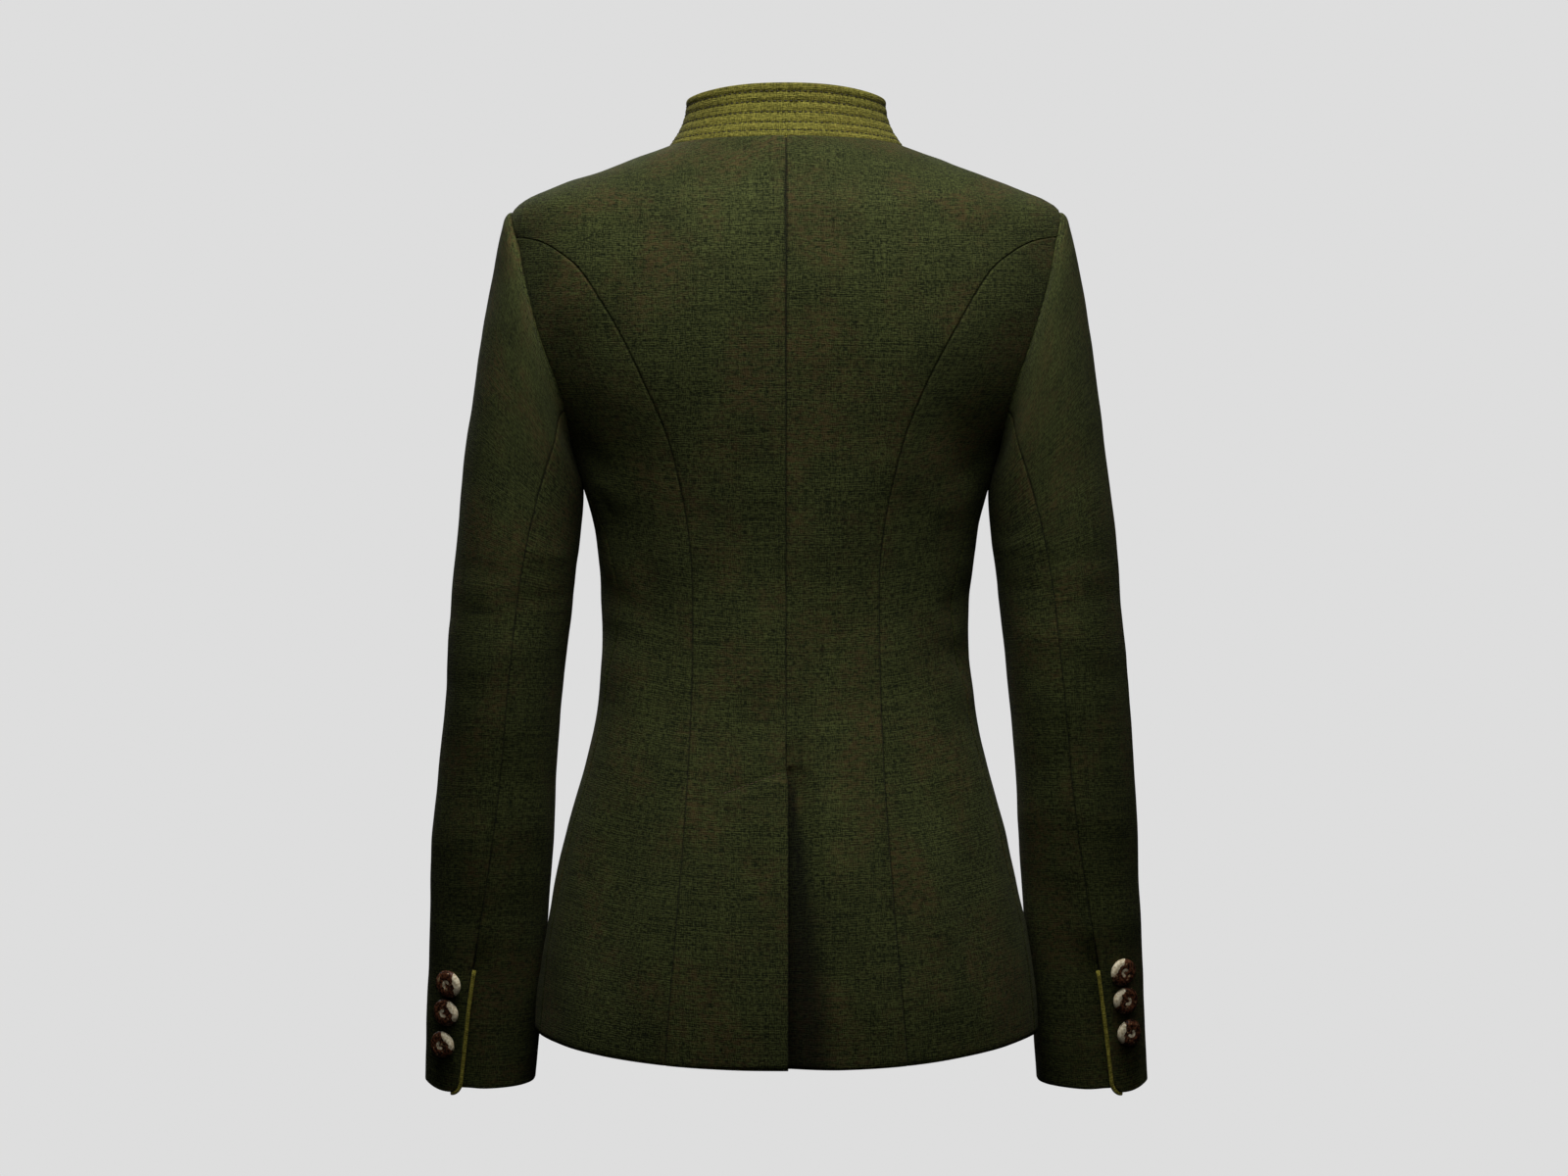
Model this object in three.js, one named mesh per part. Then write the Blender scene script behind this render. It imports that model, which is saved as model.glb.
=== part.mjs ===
// A fitted linen jacket with a stand collar, filled out and hollow, as it sits on the wearer.
// Millimetres, +Z up. The wearer faces -Y and the wearer's left is +X. The origin is the middle of
// the neck's base, level with the inner ends of the shoulder seams.
//
// The torso is one smooth surface, torsoPoint(angle, level), and every panel is a stretch of it
// between two seams. Each sleeve is another, sleevePoint(turn, row), that starts on the armhole.
// A piece of cloth is a wall of even thickness under its surface, 0.3 mm clear at each seam.
import * as THREE from "three";

// ---- Driving dimensions ----

const WALL = 2;
const SEAM_GAP = 0.3;
const HALF_GAP = SEAM_GAP / 2;
const UNDERLAY = WALL + 0.7; // depth of a layer that lies under another

const FRONT_OVERLAP = 16; // each front past the centre line
const FRONT_STEP = { from: 32, to: 54 }; // the under front sinks from one distance to the other
const FRONT_BUTTON = { top: -95, pitch: 72, count: 5, across: 21, thick: 5, lift: 1.2 };

const VENT = { top: -420, slantTo: -434, fadeFrom: -394, underlap: 41, overlap: 1.5 };
// The under side of the vent falls inward: where the fall begins, how wide it is and how deep.
const VENT_HOLLOW = { top: { from: 8, wide: 13 }, hem: { from: 2, wide: 34, deep: 20 } };

const CUFF_VENT = { top: -562, underlap: 17, corner: 6.5, dip: 3 };
const CUFF_BACK_DIP = 4; // the cuff hangs lower at the back
const PIPING = { wide: 2.4, deep: 1.9 };
const CUFF_BUTTON = { across: 19.6, thick: 4.8, lift: 0.9 };
const CUFF_BUTTON_PLACES = table(["turn", "z"], [[57, -567], [55.5, -586], [52.5, -607.5]]);
const CUFF_BUTTON_DROP = { left: 4, right: -4 };
const BUTTON_SHANK = 3; // radius of the thread that holds a button off the cloth

const COLLAR = {
  rise: { side: 31.6, back: 36.4, front: 31 },
  lean: { side: 12.1, back: 10.5, front: 7 },
  flare: 2.2, // how soon the band turns upright
  thick: 2.2,
  fromCentre: 3, // each end stops short of the centre line
  corner: 6,
  ribHeight: 1.1,
  ribEdges: [0, 0.1, 0.255, 0.45, 0.655, 0.84, 1], // the six stitched bands, seam to top edge
};

// Rings of the torso, hem to neck: the side line, the centre back and the centre front. `centre` and
// `side` are exponents of the ring's curve: under 1 is flatter there than an ellipse, over 1 more
// pointed.
const TORSO = table(
  ["sideX", "sideZ", "backY", "backZ", "frontY", "frontZ", "centre", "side"],
  [
    [171.8, -603, 116, -620, -121, -625, 0.86, 0.9], // hem
    [168.5, -566, 115, -576, -121, -578, 0.86, 0.9],
    [161.5, -522, 111, -526, -119, -526, 0.86, 0.9], // hip
    [150.3, -471, 102, -472, -115, -472, 0.86, 0.9],
    [137.5, -421, 91, -421, -110, -421, 0.86, 0.9],
    [128.3, -375, 82.5, -375, -107, -375, 0.87, 0.91],
    [124.5, -322, 80, -322, -107, -322, 0.88, 0.92], // waist
    [130, -268, 84.5, -268, -112, -268, 0.87, 0.92],
    [139, -230, 90, -230, -118, -230, 0.86, 0.93], // bust
    [147.5, -203, 94, -202, -121, -205, 0.86, 0.95], // foot of the armhole
    [170, -172, 97.5, -168, -119, -178, 0.87, 1],
    [185, -140, 99.5, -135, -114, -153, 0.87, 1],
    [190, -106, 99.5, -103, -106, -129, 0.87, 1],
    [190, -73, 96.5, -74, -96, -108, 0.87, 1.03],
    [185.5, -44.5, 90, -47, -85, -93, 0.88, 1.15], // shoulder point
    [152, -27, 80, -28, -76, -86, 0.89, 1.15],
    [115, -13.6, 71, -11.6, -68.5, -79, 0.9, 1.1],
    [79.4, 0, 62, 2, -62, -72, 0.9, 1], // neck seam
  ],
);
const HEM = 0;
const ARMHOLE_FOOT = 9;
const SHOULDER_POINT = 14;
const NECK = TORSO.length - 1;

// Fullness that the cut gives: bust, shoulder blades, and the slow waves of the skirt.
const FULLNESS = table(
  ["face", "x", "z", "wide", "high", "out"],
  [
    [-1, 76, -222, 40, 52, 17], // bust
    [1, 78, -128, 46, 62, 4], // shoulder blade
    [1, 0, -165, 16, 90, -2.5], // hollow between the blades
    [1, 92, -560, 26, 70, 4.5],
    [1, 138, -585, 18, 60, 4],
    [-1, 112, -575, 26, 66, 4],
  ],
);

const ARMHOLE = { foot: 3, back: 47, front: 50, egg: 0.18, sag: 8 };
const BACK_SEAM_TURN = 37; // where on the armhole the back panel seam ends
const FRONT_SEAM_TURN = -50;
const SEAM_SPLIT = 0.695; // share of a panel seam's length that lies below the armhole's foot

// The panel seams, hem to armhole, as drawn from behind and from in front.
const BACK_SEAM = table(
  ["x", "z"],
  [
    [80.5, -620], [77.5, -581], [71.6, -511], [66.5, -442], [63.4, -372], [62.8, -322.5],
    [63.4, -284], [68.6, -245], [78.8, -202.8], [93.2, -167.8], [111, -132.3], [133.8, -93.3],
    [150.2, -77.5], [166, -68],
  ],
);
const FRONT_SEAM = table(
  ["x", "z"],
  [
    [84, -620], [80, -550], [74, -470], [68, -390], [66, -322], [72, -262], [82, -212],
    [96, -168], [118, -136], [146, -110],
  ],
);

// The side seam: its angle round the torso at each height.
const SIDE_SEAM = table(
  ["angle", "z"],
  [[12, -604], [14, -520], [17, -425], [20, -365], [26, -325], [26, -290], [19, -255], [8, -225]],
);

// Heights of the rows on the centre lines, hem to neck.
const BACK_HEIGHTS = [
  -620, -588, -556, -524, -493, -463, VENT.slantTo, VENT.top, VENT.fadeFrom, -362, -330, -298,
  -266, -235, -205, -188, -171, -154, -137, -120, -104, -88, -73, -58, -50, -42, -34, -22, -10, 2,
];
const FRONT_HEIGHTS = [
  -625, -594, -564, -534, -504, -474, -444, -414, -384, -354, -324, -294, -264, -234, -204,
  -194, -184, -174, -164, -154, -144, -134, -124, -114, -106, -99, -93, -86, -79, -72,
];

// Rings of the sleeve, armhole to cuff: the outer and inner lines seen from behind, the middle of
// the ring front to back, and half its depth. The two turns are the seams that part it in two.
const SLEEVE = table(
  ["outerX", "outerZ", "innerX", "innerZ", "midY", "halfDepth", "backSeam", "frontSeam"],
  [
    [185.5, -44.5, 147.9, -203.3, 0, 48, 133, -120],
    [189.8, -47.3, 147.2, -206.5, 0, 50.5, 132, -119],
    [194.6, -60.5, 145.1, -213.5, 0, 54, 129, -117],
    [199.8, -84, 141.8, -223, -1, 57, 125, -115],
    [206.5, -118, 138.9, -233, -2, 59, 120, -113],
    [212.7, -160, 138.6, -246, -3, 59.5, 114, -111],
    [218.6, -205, 140.3, -264, -4, 58.5, 108, -110],
    [224, -255, 143.6, -287, -5, 57, 103, -110],
    [228.9, -310, 147, -318, -6, 54, 99.5, -110],
    [234.3, -372, 152.8, -374, -8, 50, 98, -110],
    [239.8, -440, 158, -440, -15, 46, 96.4, -110],
    [243.9, -510, 162.4, -510, -24, 42.5, 88, -110],
    [247.3, -575, 168.3, -575, -34, 40, 78, -110],
    [249.8, -641, 174, -641, -45, 38.5, 69.5, -110],
  ],
);
const CUFF = SLEEVE.length - 1;

// Turns round the armhole at which the body and the sleeve both have points.
const BACK_TURNS = [180, 165, 149, 133, 117, 101, 85, 68, 52, BACK_SEAM_TURN];
const BACK_TOP_TURNS = [25, 12];
const FRONT_TURNS = [-180, -165, -150, -135, -120, -106, -92, -78, -64, FRONT_SEAM_TURN];
const FRONT_TOP_TURNS = [-34, -17];

// Steps in the nets of points.
const SIDE_ROWS = 14;
const SHOULDER_ROWS = 3;
const BACK_COLUMNS = 6;
const BACK_UNDER_COLUMNS = 9;
const FRONT_COLUMNS = [1, 1, 5]; // the overlap, its like on the other side, the rest
const SIDE_COLUMNS = 6;
const SLEEVE_ROWS = 13;
const COLLAR_COLUMNS = 40;
const RIB_ROWS = 2;
const BUTTON_SIDES = 18;

const LINEN = new THREE.MeshStandardMaterial({ color: 0x3c3f25, roughness: 0.9, metalness: 0 });
const CONTRAST = new THREE.MeshStandardMaterial({ color: 0x86803a, roughness: 0.9, metalness: 0 });
const HORN = new THREE.MeshStandardMaterial({ color: 0x7d5a41, roughness: 0.55, metalness: 0 });

// ---- Small tools ----

function table(columns, rows) {
  return rows.map((row) => Object.fromEntries(columns.map((name, i) => [name, row[i]])));
}

const { clamp, lerp, smoothstep, degToRad, radToDeg } = THREE.MathUtils;

function signedPower(value, exponent) {
  return Math.sign(value) * Math.pow(Math.abs(value), exponent);
}

// A column of a table at a row or between two, on a smooth curve through them.
function read(rows, column, at) {
  const last = rows.length - 1;
  const i = clamp(Math.floor(at), 0, last - 1);
  const t = at - i;
  const p1 = rows[i][column];
  const p2 = rows[i + 1][column];
  const p0 = i > 0 ? rows[i - 1][column] : 2 * p1 - p2;
  const p3 = i + 2 <= last ? rows[i + 2][column] : 2 * p2 - p1;
  const t2 = t * t;
  const t3 = t2 * t;
  return (
    (2 * t3 - 3 * t2 + 1) * p1 +
    ((t3 - 2 * t2 + t) * (p2 - p0)) / 2 +
    (3 * t2 - 2 * t3) * p2 +
    ((t3 - t2) * (p3 - p1)) / 2
  );
}

// Where between low and high a rising function reaches the target.
function solve(rising, target, low, high) {
  for (let i = 0; i < 40; i++) {
    const middle = (low + high) / 2;
    if (rising(middle) < target) low = middle;
    else high = middle;
  }
  return (low + high) / 2;
}

// The normal of a surface that faces out where u runs right and v up as seen from outside.
function normalOf(surface, u, v, stepU, stepV, lastV) {
  const along = surface(u + stepU, v).sub(surface(u - stepU, v));
  const up = surface(u, Math.min(v + stepV, lastV)).sub(surface(u, Math.max(v - stepV, 0)));
  return along.cross(up).normalize();
}

// ---- The torso's surface ----

// A point of the torso. The angle is 0 on the wearer's left side, 90 at the centre back and -90 at
// the centre front; the level is a row of TORSO, or between two.
function torsoPoint(angle, level) {
  const c = Math.cos(degToRad(angle));
  const s = Math.sin(degToRad(angle));
  const face = s < 0 ? -1 : 1;
  const sideZ = read(TORSO, "sideZ", level);
  const centreZ = read(TORSO, face > 0 ? "backZ" : "frontZ", level);
  const depth = read(TORSO, face > 0 ? "backY" : "frontY", level);
  const x = read(TORSO, "sideX", level) * signedPower(c, read(TORSO, "centre", level));
  const z = sideZ + (centreZ - sideZ) * s * s;
  let y = depth * Math.pow(Math.abs(s), read(TORSO, "side", level));
  for (const f of FULLNESS) {
    if (f.face !== face) continue;
    const across = (Math.abs(x) - f.x) / f.wide;
    const up = (z - f.z) / f.high;
    y += face * f.out * Math.exp(-across * across - up * up) * Math.min(1, 1.6 * Math.abs(s));
  }
  return new THREE.Vector3(x, y, z);
}

function torsoNormal(angle, level) {
  return normalOf(torsoPoint, angle, level, 0.5, 0.02, NECK);
}

// The angle at which a level of the torso has this x.
function angleAtX(x, level, face) {
  const share = clamp(x / read(TORSO, "sideX", level), -1, 1);
  return face * radToDeg(Math.acos(signedPower(share, 1 / read(TORSO, "centre", level))));
}

// The angle at which a level of the torso has this y.
function angleAtY(y, level) {
  const depth = read(TORSO, y > 0 ? "backY" : "frontY", level);
  const sine = Math.pow(Math.abs(y / depth), 1 / read(TORSO, "side", level));
  return Math.sign(y) * radToDeg(Math.asin(Math.min(1, sine)));
}

// The level at which the torso reaches the height z, the angle following from the level.
function levelAt(z, angleAt, topLevel = NECK) {
  return solve((level) => torsoPoint(angleAt(level), level).z, z, HEM, topLevel);
}

// The armhole: turn 0 is the shoulder point, 90 the back, 180 the foot, -90 the front.
function armholePlace(turn) {
  if (turn === 0) return [0, SHOULDER_POINT];
  const c = Math.cos(degToRad(turn));
  const s = Math.sin(degToRad(turn));
  const top = TORSO[SHOULDER_POINT].sideZ;
  const foot = TORSO[ARMHOLE_FOOT].sideZ;
  const z = (top + foot) / 2 + ((top - foot) / 2) * c - ARMHOLE.sag * s * s;
  const reach = s > 0 ? ARMHOLE.back : ARMHOLE.front;
  const y = reach * s * (1 - ARMHOLE.egg * c) + (ARMHOLE.foot * (1 - c)) / 2;
  const level = levelAt(z, (at) => angleAtY(y, at), SHOULDER_POINT);
  return [angleAtY(y, level), level];
}

// ---- Seams, as lists of [angle, level] from the hem up ----

// A drawn seam from the hem to its place on the armhole.
function drawnSeam(drawing, face, endTurn) {
  const end = torsoPoint(...armholePlace(endTurn));
  const curve = new THREE.SplineCurve(
    [...drawing, { x: end.x, z: end.z }].map((p) => new THREE.Vector2(p.x, p.z)),
  );
  const upperRows = BACK_TURNS.length - 1;
  const places = [];
  for (let i = 0; i <= SIDE_ROWS + upperRows; i++) {
    const lower = (SEAM_SPLIT * i) / SIDE_ROWS;
    const upper = lerp(SEAM_SPLIT, 1, (i - SIDE_ROWS) / upperRows);
    const p = curve.getPointAt(i <= SIDE_ROWS ? lower : upper);
    const level = levelAt(p.y, (at) => angleAtX(p.x, at, face));
    places.push([angleAtX(p.x, level, face), level]);
  }
  places[0][1] = HEM;
  places[places.length - 1] = armholePlace(endTurn);
  return places;
}

function sideSeam() {
  const [footAngle, footLevel] = armholePlace(180);
  const footZ = torsoPoint(footAngle, footLevel).z;
  const rows = [...SIDE_SEAM, { angle: footAngle, z: footZ }];
  const curve = new THREE.SplineCurve(rows.map((p) => new THREE.Vector2(p.angle, p.z)));
  return Array.from({ length: SIDE_ROWS + 1 }, (_, i) => {
    const level = (footLevel * i) / SIDE_ROWS;
    const z = torsoPoint(footAngle, level).z;
    return [curve.getPoint(solve((at) => curve.getPoint(at).y, z, 0, 1)).x, level];
  });
}

const shoulderSeam = Array.from({ length: SHOULDER_ROWS + 1 }, (_, i) => [
  0,
  lerp(SHOULDER_POINT, NECK, i / SHOULDER_ROWS),
]);
const seamOfSide = sideSeam();
const seamOfBack = drawnSeam(BACK_SEAM, 1, BACK_SEAM_TURN);
const seamOfFront = drawnSeam(FRONT_SEAM, -1, FRONT_SEAM_TURN);

// ---- Walls ----

// A closed wall between an outer and an inner net of points, both [row][column]. Rows run up and
// columns to the right as seen from outside. A mirrored wall is the same one across x = 0.
function wall(outer, inner, mirrored = false) {
  const corners = [];
  const side = new THREE.Vector3(mirrored ? -1 : 1, 1, 1);
  const triangle = (...points) => {
    const turned = mirrored ? points.toReversed() : points;
    corners.push(...turned.map((p) => p.clone().multiply(side)));
  };
  const quad = (a, b, c, d) => {
    if (a.distanceToSquared(c) <= b.distanceToSquared(d)) {
      triangle(a, b, c);
      triangle(a, c, d);
    } else {
      triangle(a, b, d);
      triangle(b, c, d);
    }
  };
  const top = outer.length - 1;
  const end = outer[0].length - 1;
  for (let i = 0; i < top; i++) {
    for (let j = 0; j < end; j++) {
      quad(outer[i][j], outer[i][j + 1], outer[i + 1][j + 1], outer[i + 1][j]);
      quad(inner[i][j], inner[i + 1][j], inner[i + 1][j + 1], inner[i][j + 1]);
    }
  }
  for (let j = 0; j < end; j++) {
    quad(outer[0][j], inner[0][j], inner[0][j + 1], outer[0][j + 1]);
    quad(outer[top][j], outer[top][j + 1], inner[top][j + 1], inner[top][j]);
  }
  for (let i = 0; i < top; i++) {
    quad(outer[i][0], outer[i + 1][0], inner[i + 1][0], inner[i][0]);
    quad(outer[i][end], inner[i][end], inner[i + 1][end], outer[i + 1][end]);
  }
  return new THREE.BufferGeometry().setFromPoints(corners);
}

function piece(name, geometry, material) {
  geometry.computeVertexNormals();
  const mesh = new THREE.Mesh(geometry, material);
  mesh.name = name;
  return mesh;
}

// ---- Torso panels ----

// The two nets of a panel through its edges, each a list of [angle, level] from the hem up, with
// this many columns from one to the next. `gap` is how far the first and the last are drawn back,
// and sink(point) the depth of a layer that lies under another.
function panelNets(edges, columns, { gap = [HALF_GAP, HALF_GAP], sink = () => 0 } = {}) {
  const outer = [];
  const normals = [];
  for (let i = 0; i < edges[0].length; i++) {
    const places = columns.flatMap((count, k) => {
      const [[angle0, level0], [angle1, level1]] = [edges[k][i], edges[k + 1][i]];
      return Array.from({ length: count }, (_, j) => [
        lerp(angle0, angle1, j / count),
        lerp(level0, level1, j / count),
      ]);
    });
    places.push(edges.at(-1)[i]);
    outer.push(places.map((place) => torsoPoint(...place)));
    normals.push(places.map((place) => torsoNormal(...place)));
  }
  const top = outer.length - 1;
  for (const [j, back] of [[0, -gap[0]], [outer[0].length - 1, gap[1]]]) {
    const edge = outer.map((row) => row[j].clone());
    outer.forEach((row, i) => {
      const along = edge[Math.min(i + 1, top)].clone().sub(edge[Math.max(i - 1, 0)]);
      const leftward = normals[i][j].clone().cross(along).normalize();
      row[j].addScaledVector(leftward, back);
    });
  }
  const sunkBy = (depth) =>
    outer.map((row, i) =>
      row.map((p, j) => p.clone().addScaledVector(normals[i][j], -sink(p) - depth)),
    );
  return [sunkBy(0), sunkBy(WALL)];
}

// The line past(height) millimetres beyond the centre line, at the centre's own rows.
function centreEdge(face, heights, past) {
  const last = heights.length - 1;
  return heights.map((z, i) => {
    const level = i === 0 ? HEM : i === last ? NECK : levelAt(z, () => face * 90);
    return [angleAtX(-past(z), level, face), level];
  });
}

// The outer edge of a centre panel: its seam, the top of the armhole, the shoulder seam.
function outerEdge(seam, topTurns) {
  return [...seam, ...topTurns.map(armholePlace), ...shoulderSeam];
}

// A side panel's edge stops just short of the point where its two edges meet.
function shortOfTip(edge) {
  const [[angle0, level0], [angle1, level1]] = edge.slice(-2);
  const setBack = 0.88;
  return [...edge.slice(0, -1), [lerp(angle0, angle1, setBack), lerp(level0, level1, setBack)]];
}

// Depth of the back panel that passes under the vent, and of the front that lies under.
function ventSink(p) {
  const open = 1 - smoothstep(p.z, VENT.top, VENT.fadeFrom);
  const down = clamp((VENT.top - p.z) / (VENT.top - TORSO[HEM].backZ), 0, 1);
  const { top, hem } = VENT_HOLLOW;
  const rise = clamp((p.x - lerp(top.from, hem.from, down)) / lerp(top.wide, hem.wide, down), 0, 1);
  return lerp(UNDERLAY, hem.deep, Math.pow(down, 0.6)) * open * Math.pow(1 - rise, 1.25);
}

function frontSink(p) {
  return UNDERLAY * (1 - smoothstep(p.x, FRONT_STEP.from, FRONT_STEP.to));
}

function torsoPieces() {
  const ventOpen = (z) => (z < VENT.top - 1 ? 1 : 0);
  const backEdge = outerEdge(seamOfBack, BACK_TOP_TURNS);
  const frontEdge = outerEdge(seamOfFront, FRONT_TOP_TURNS);
  const ventOver = centreEdge(1, BACK_HEIGHTS, (z) => VENT.overlap * ventOpen(z));
  const ventUnder = centreEdge(1, BACK_HEIGHTS, (z) => VENT.underlap * ventOpen(z));
  const [opening, centre, overlapped] = [FRONT_OVERLAP, 0, -FRONT_OVERLAP].map((past) =>
    centreEdge(-1, FRONT_HEIGHTS, () => past),
  );
  const sideBack = [
    [...seamOfSide, ...BACK_TURNS.slice(1).map(armholePlace)],
    seamOfBack,
  ].map(shortOfTip);
  const sideFront = [
    seamOfFront,
    [...seamOfSide, ...FRONT_TURNS.slice(1).map(armholePlace)],
  ].map(shortOfTip);
  const frontEdges = [opening, centre, overlapped, frontEdge];
  const freeStart = [0, HALF_GAP];
  const left = {
    back: panelNets([backEdge, ventOver], [BACK_COLUMNS]),
    front: panelNets(frontEdges, FRONT_COLUMNS, { gap: freeStart, sink: frontSink }),
  };
  const right = {
    back: panelNets([backEdge, ventUnder], [BACK_UNDER_COLUMNS], { sink: ventSink }),
    front: panelNets(frontEdges, FRONT_COLUMNS, { gap: freeStart }),
  };
  return [["left", left, false], ["right", right, true]].flatMap(([side, own, mirrored]) => [
    piece(`back_${side}`, wall(...own.back, mirrored), LINEN),
    piece(`front_${side}`, wall(...own.front, mirrored), LINEN),
    piece(`side_back_${side}`, wall(...panelNets(sideBack, [SIDE_COLUMNS]), mirrored), LINEN),
    piece(`side_front_${side}`, wall(...panelNets(sideFront, [SIDE_COLUMNS]), mirrored), LINEN),
  ]);
}

// ---- Sleeves ----

const signedTurn = (turn) => (turn > 180 ? turn - 360 : turn);

// A point of the left sleeve. Turn 0 is its outer line, 90 its back and 180 its inner line; the row
// is one of SLEEVE, or between two. Near the armhole it eases into the armhole's own curve.
function sleevePoint(turn, row) {
  const c = Math.cos(degToRad(turn));
  const s = Math.sin(degToRad(turn));
  const plain = (at) => {
    const [outerX, outerZ, innerX, innerZ, midY, halfDepth] = [
      "outerX", "outerZ", "innerX", "innerZ", "midY", "halfDepth",
    ].map((column) => read(SLEEVE, column, at));
    const middle = new THREE.Vector3(outerX + innerX, 0, outerZ + innerZ).divideScalar(2);
    const across = new THREE.Vector3(outerX - innerX, 0, outerZ - innerZ).divideScalar(2);
    return middle.addScaledVector(across, c).setY(midY + halfDepth * s);
  };
  const p = plain(row);
  const easing = 1 - smoothstep(row, 0, 3.2);
  if (easing > 0) {
    const onArmhole = torsoPoint(...armholePlace(signedTurn(turn)));
    p.addScaledVector(onArmhole.sub(plain(0)), easing);
  }
  p.z -= CUFF_BACK_DIP * smoothstep(row, CUFF - 1.5, CUFF) * Math.max(0, s);
  return p;
}

// The sleeve's rows run down, so its turn and row give the inward normal.
function sleeveNormal(turn, row) {
  return normalOf(sleevePoint, turn, row, 1, 0.05, CUFF).negate();
}

const sleeveHeight = (row) => read(SLEEVE, "outerZ", row);
const rowAtHeight = (z) => solve((row) => -sleeveHeight(row), -z, 0, CUFF);

// Degrees of turn that a length along the ring takes.
function turnFor(length, turn, row) {
  return length / sleevePoint(turn + 0.5, row).distanceTo(sleevePoint(turn - 0.5, row));
}

const CUFF_HEM = SLEEVE[CUFF].outerZ;
const ventTopRow = rowAtHeight(CUFF_VENT.top);
const ventOpenRow = rowAtHeight(CUFF_VENT.top - 8);
const sleeveRows = [
  0,
  0.35,
  0.8,
  ...Array.from({ length: SLEEVE_ROWS }, (_, i) => lerp(1.4, ventTopRow, i / (SLEEVE_ROWS - 1))),
  ventOpenRow,
  ...[30, 50].map((drop) => rowAtHeight(CUFF_VENT.top - drop)),
  ...[1, 0.5, 0.15].map((share) => rowAtHeight(CUFF_HEM + CUFF_VENT.corner * share)),
  CUFF,
];

// The two nets of a sleeve piece between two edges, each a turn for every row, with columns at
// these shares of the way. sink(turn, i) is the depth of a layer that lies under another.
function sleeveNets(startTurns, endTurns, shares, sink = () => 0) {
  const outer = [];
  const inner = [];
  sleeveRows.forEach((row, i) => {
    const outerRow = [];
    const innerRow = [];
    for (const share of shares) {
      const turn = lerp(startTurns[i], endTurns[i], share);
      const p = sleevePoint(turn, row);
      const out = sleeveNormal(turn, row);
      if (i === 0) {
        p.add(sleevePoint(turn, 0.25).sub(p).setLength(SEAM_GAP));
        const bodyOut = torsoNormal(...armholePlace(signedTurn(turn)));
        out.lerp(bodyOut, 1 - smoothstep(Math.abs(signedTurn(turn)), 70, 140)).normalize();
      }
      const depth = sink(turn, i);
      outerRow.push(p.clone().addScaledVector(out, -depth));
      innerRow.push(p.clone().addScaledVector(out, -depth - WALL));
    }
    outer.push(outerRow);
    inner.push(innerRow);
  });
  return [outer, inner];
}

// Shares of the way round at which a sleeve piece has its columns, one at each armhole point.
function sharesOf(turns) {
  return turns.map((turn) => (turn - turns[0]) / (turns.at(-1) - turns[0]));
}

// How far a rounded corner is cut back at a distance from the edge it ends on.
function cornerCut(distance, radius) {
  return distance >= radius ? 0 : radius - Math.sqrt(radius ** 2 - (radius - distance) ** 2);
}

function sleevePieces(side, mirrored) {
  const backSeam = sleeveRows.map((row) => read(SLEEVE, "backSeam", row));
  const frontSeam = sleeveRows.map((row) => read(SLEEVE, "frontSeam", row));
  const gapTurns = sleeveRows.map((row, i) => turnFor(HALF_GAP, backSeam[i], row));

  const flapTurns = sleeveRows.map((row, i) => {
    const cut = cornerCut(sleeveHeight(row) - CUFF_HEM, CUFF_VENT.corner);
    return backSeam[i] - gapTurns[i] - turnFor(cut, backSeam[i], row);
  });
  const upperColumns = sharesOf([
    ...FRONT_TURNS.slice(4), ...FRONT_TOP_TURNS, 0,
    ...BACK_TOP_TURNS.toReversed(), ...BACK_TURNS.slice(3).toReversed(),
  ]);
  const upper = sleeveNets(frontSeam.map((turn, i) => turn + gapTurns[i]), flapTurns, upperColumns);
  for (const net of upper) {
    net.forEach((points, i) => {
      const low = smoothstep(sleeveRows[i], CUFF - 1, CUFF);
      points.forEach((p, j) => {
        p.z -= CUFF_VENT.dip * low * smoothstep(upperColumns[j], 0.72, 0.97);
      });
    });
  }

  const underTurns = sleeveRows.map((row, i) => {
    const open = smoothstep(row, ventTopRow, ventOpenRow);
    return backSeam[i] + gapTurns[i] - open * turnFor(CUFF_VENT.underlap, backSeam[i], row);
  });
  const underSink = (turn, i) => {
    const open = smoothstep(sleeveRows[i], ventTopRow - 0.5, ventTopRow);
    const clear = turnFor(5, turn, sleeveRows[i]);
    const past = smoothstep(turn, backSeam[i] + clear, backSeam[i] + 4 * clear);
    return (UNDERLAY + 0.4) * open * (1 - past);
  };
  const under = sleeveNets(
    underTurns,
    frontSeam.map((turn, i) => turn + 360 - gapTurns[i]),
    sharesOf([
      ...BACK_TURNS.slice(0, 4).toReversed(),
      ...FRONT_TURNS.slice(1, 5).map((turn) => turn + 360),
    ]),
    underSink,
  );

  // The nets run down the arm, so they are turned over for their rows to run up.
  const upright = (nets) => nets.map((net) => net.toReversed());
  const flapEdge = upper.map((net) => net.map((points) => points.at(-1)));
  return [
    piece(`upper_sleeve_${side}`, wall(...upright(upper), mirrored), LINEN),
    piece(`under_sleeve_${side}`, wall(...upright(under), mirrored), LINEN),
    piece(`cuff_piping_${side}`, wall(...upright(pipingNets(flapEdge)), mirrored), CONTRAST),
  ];
}

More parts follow.
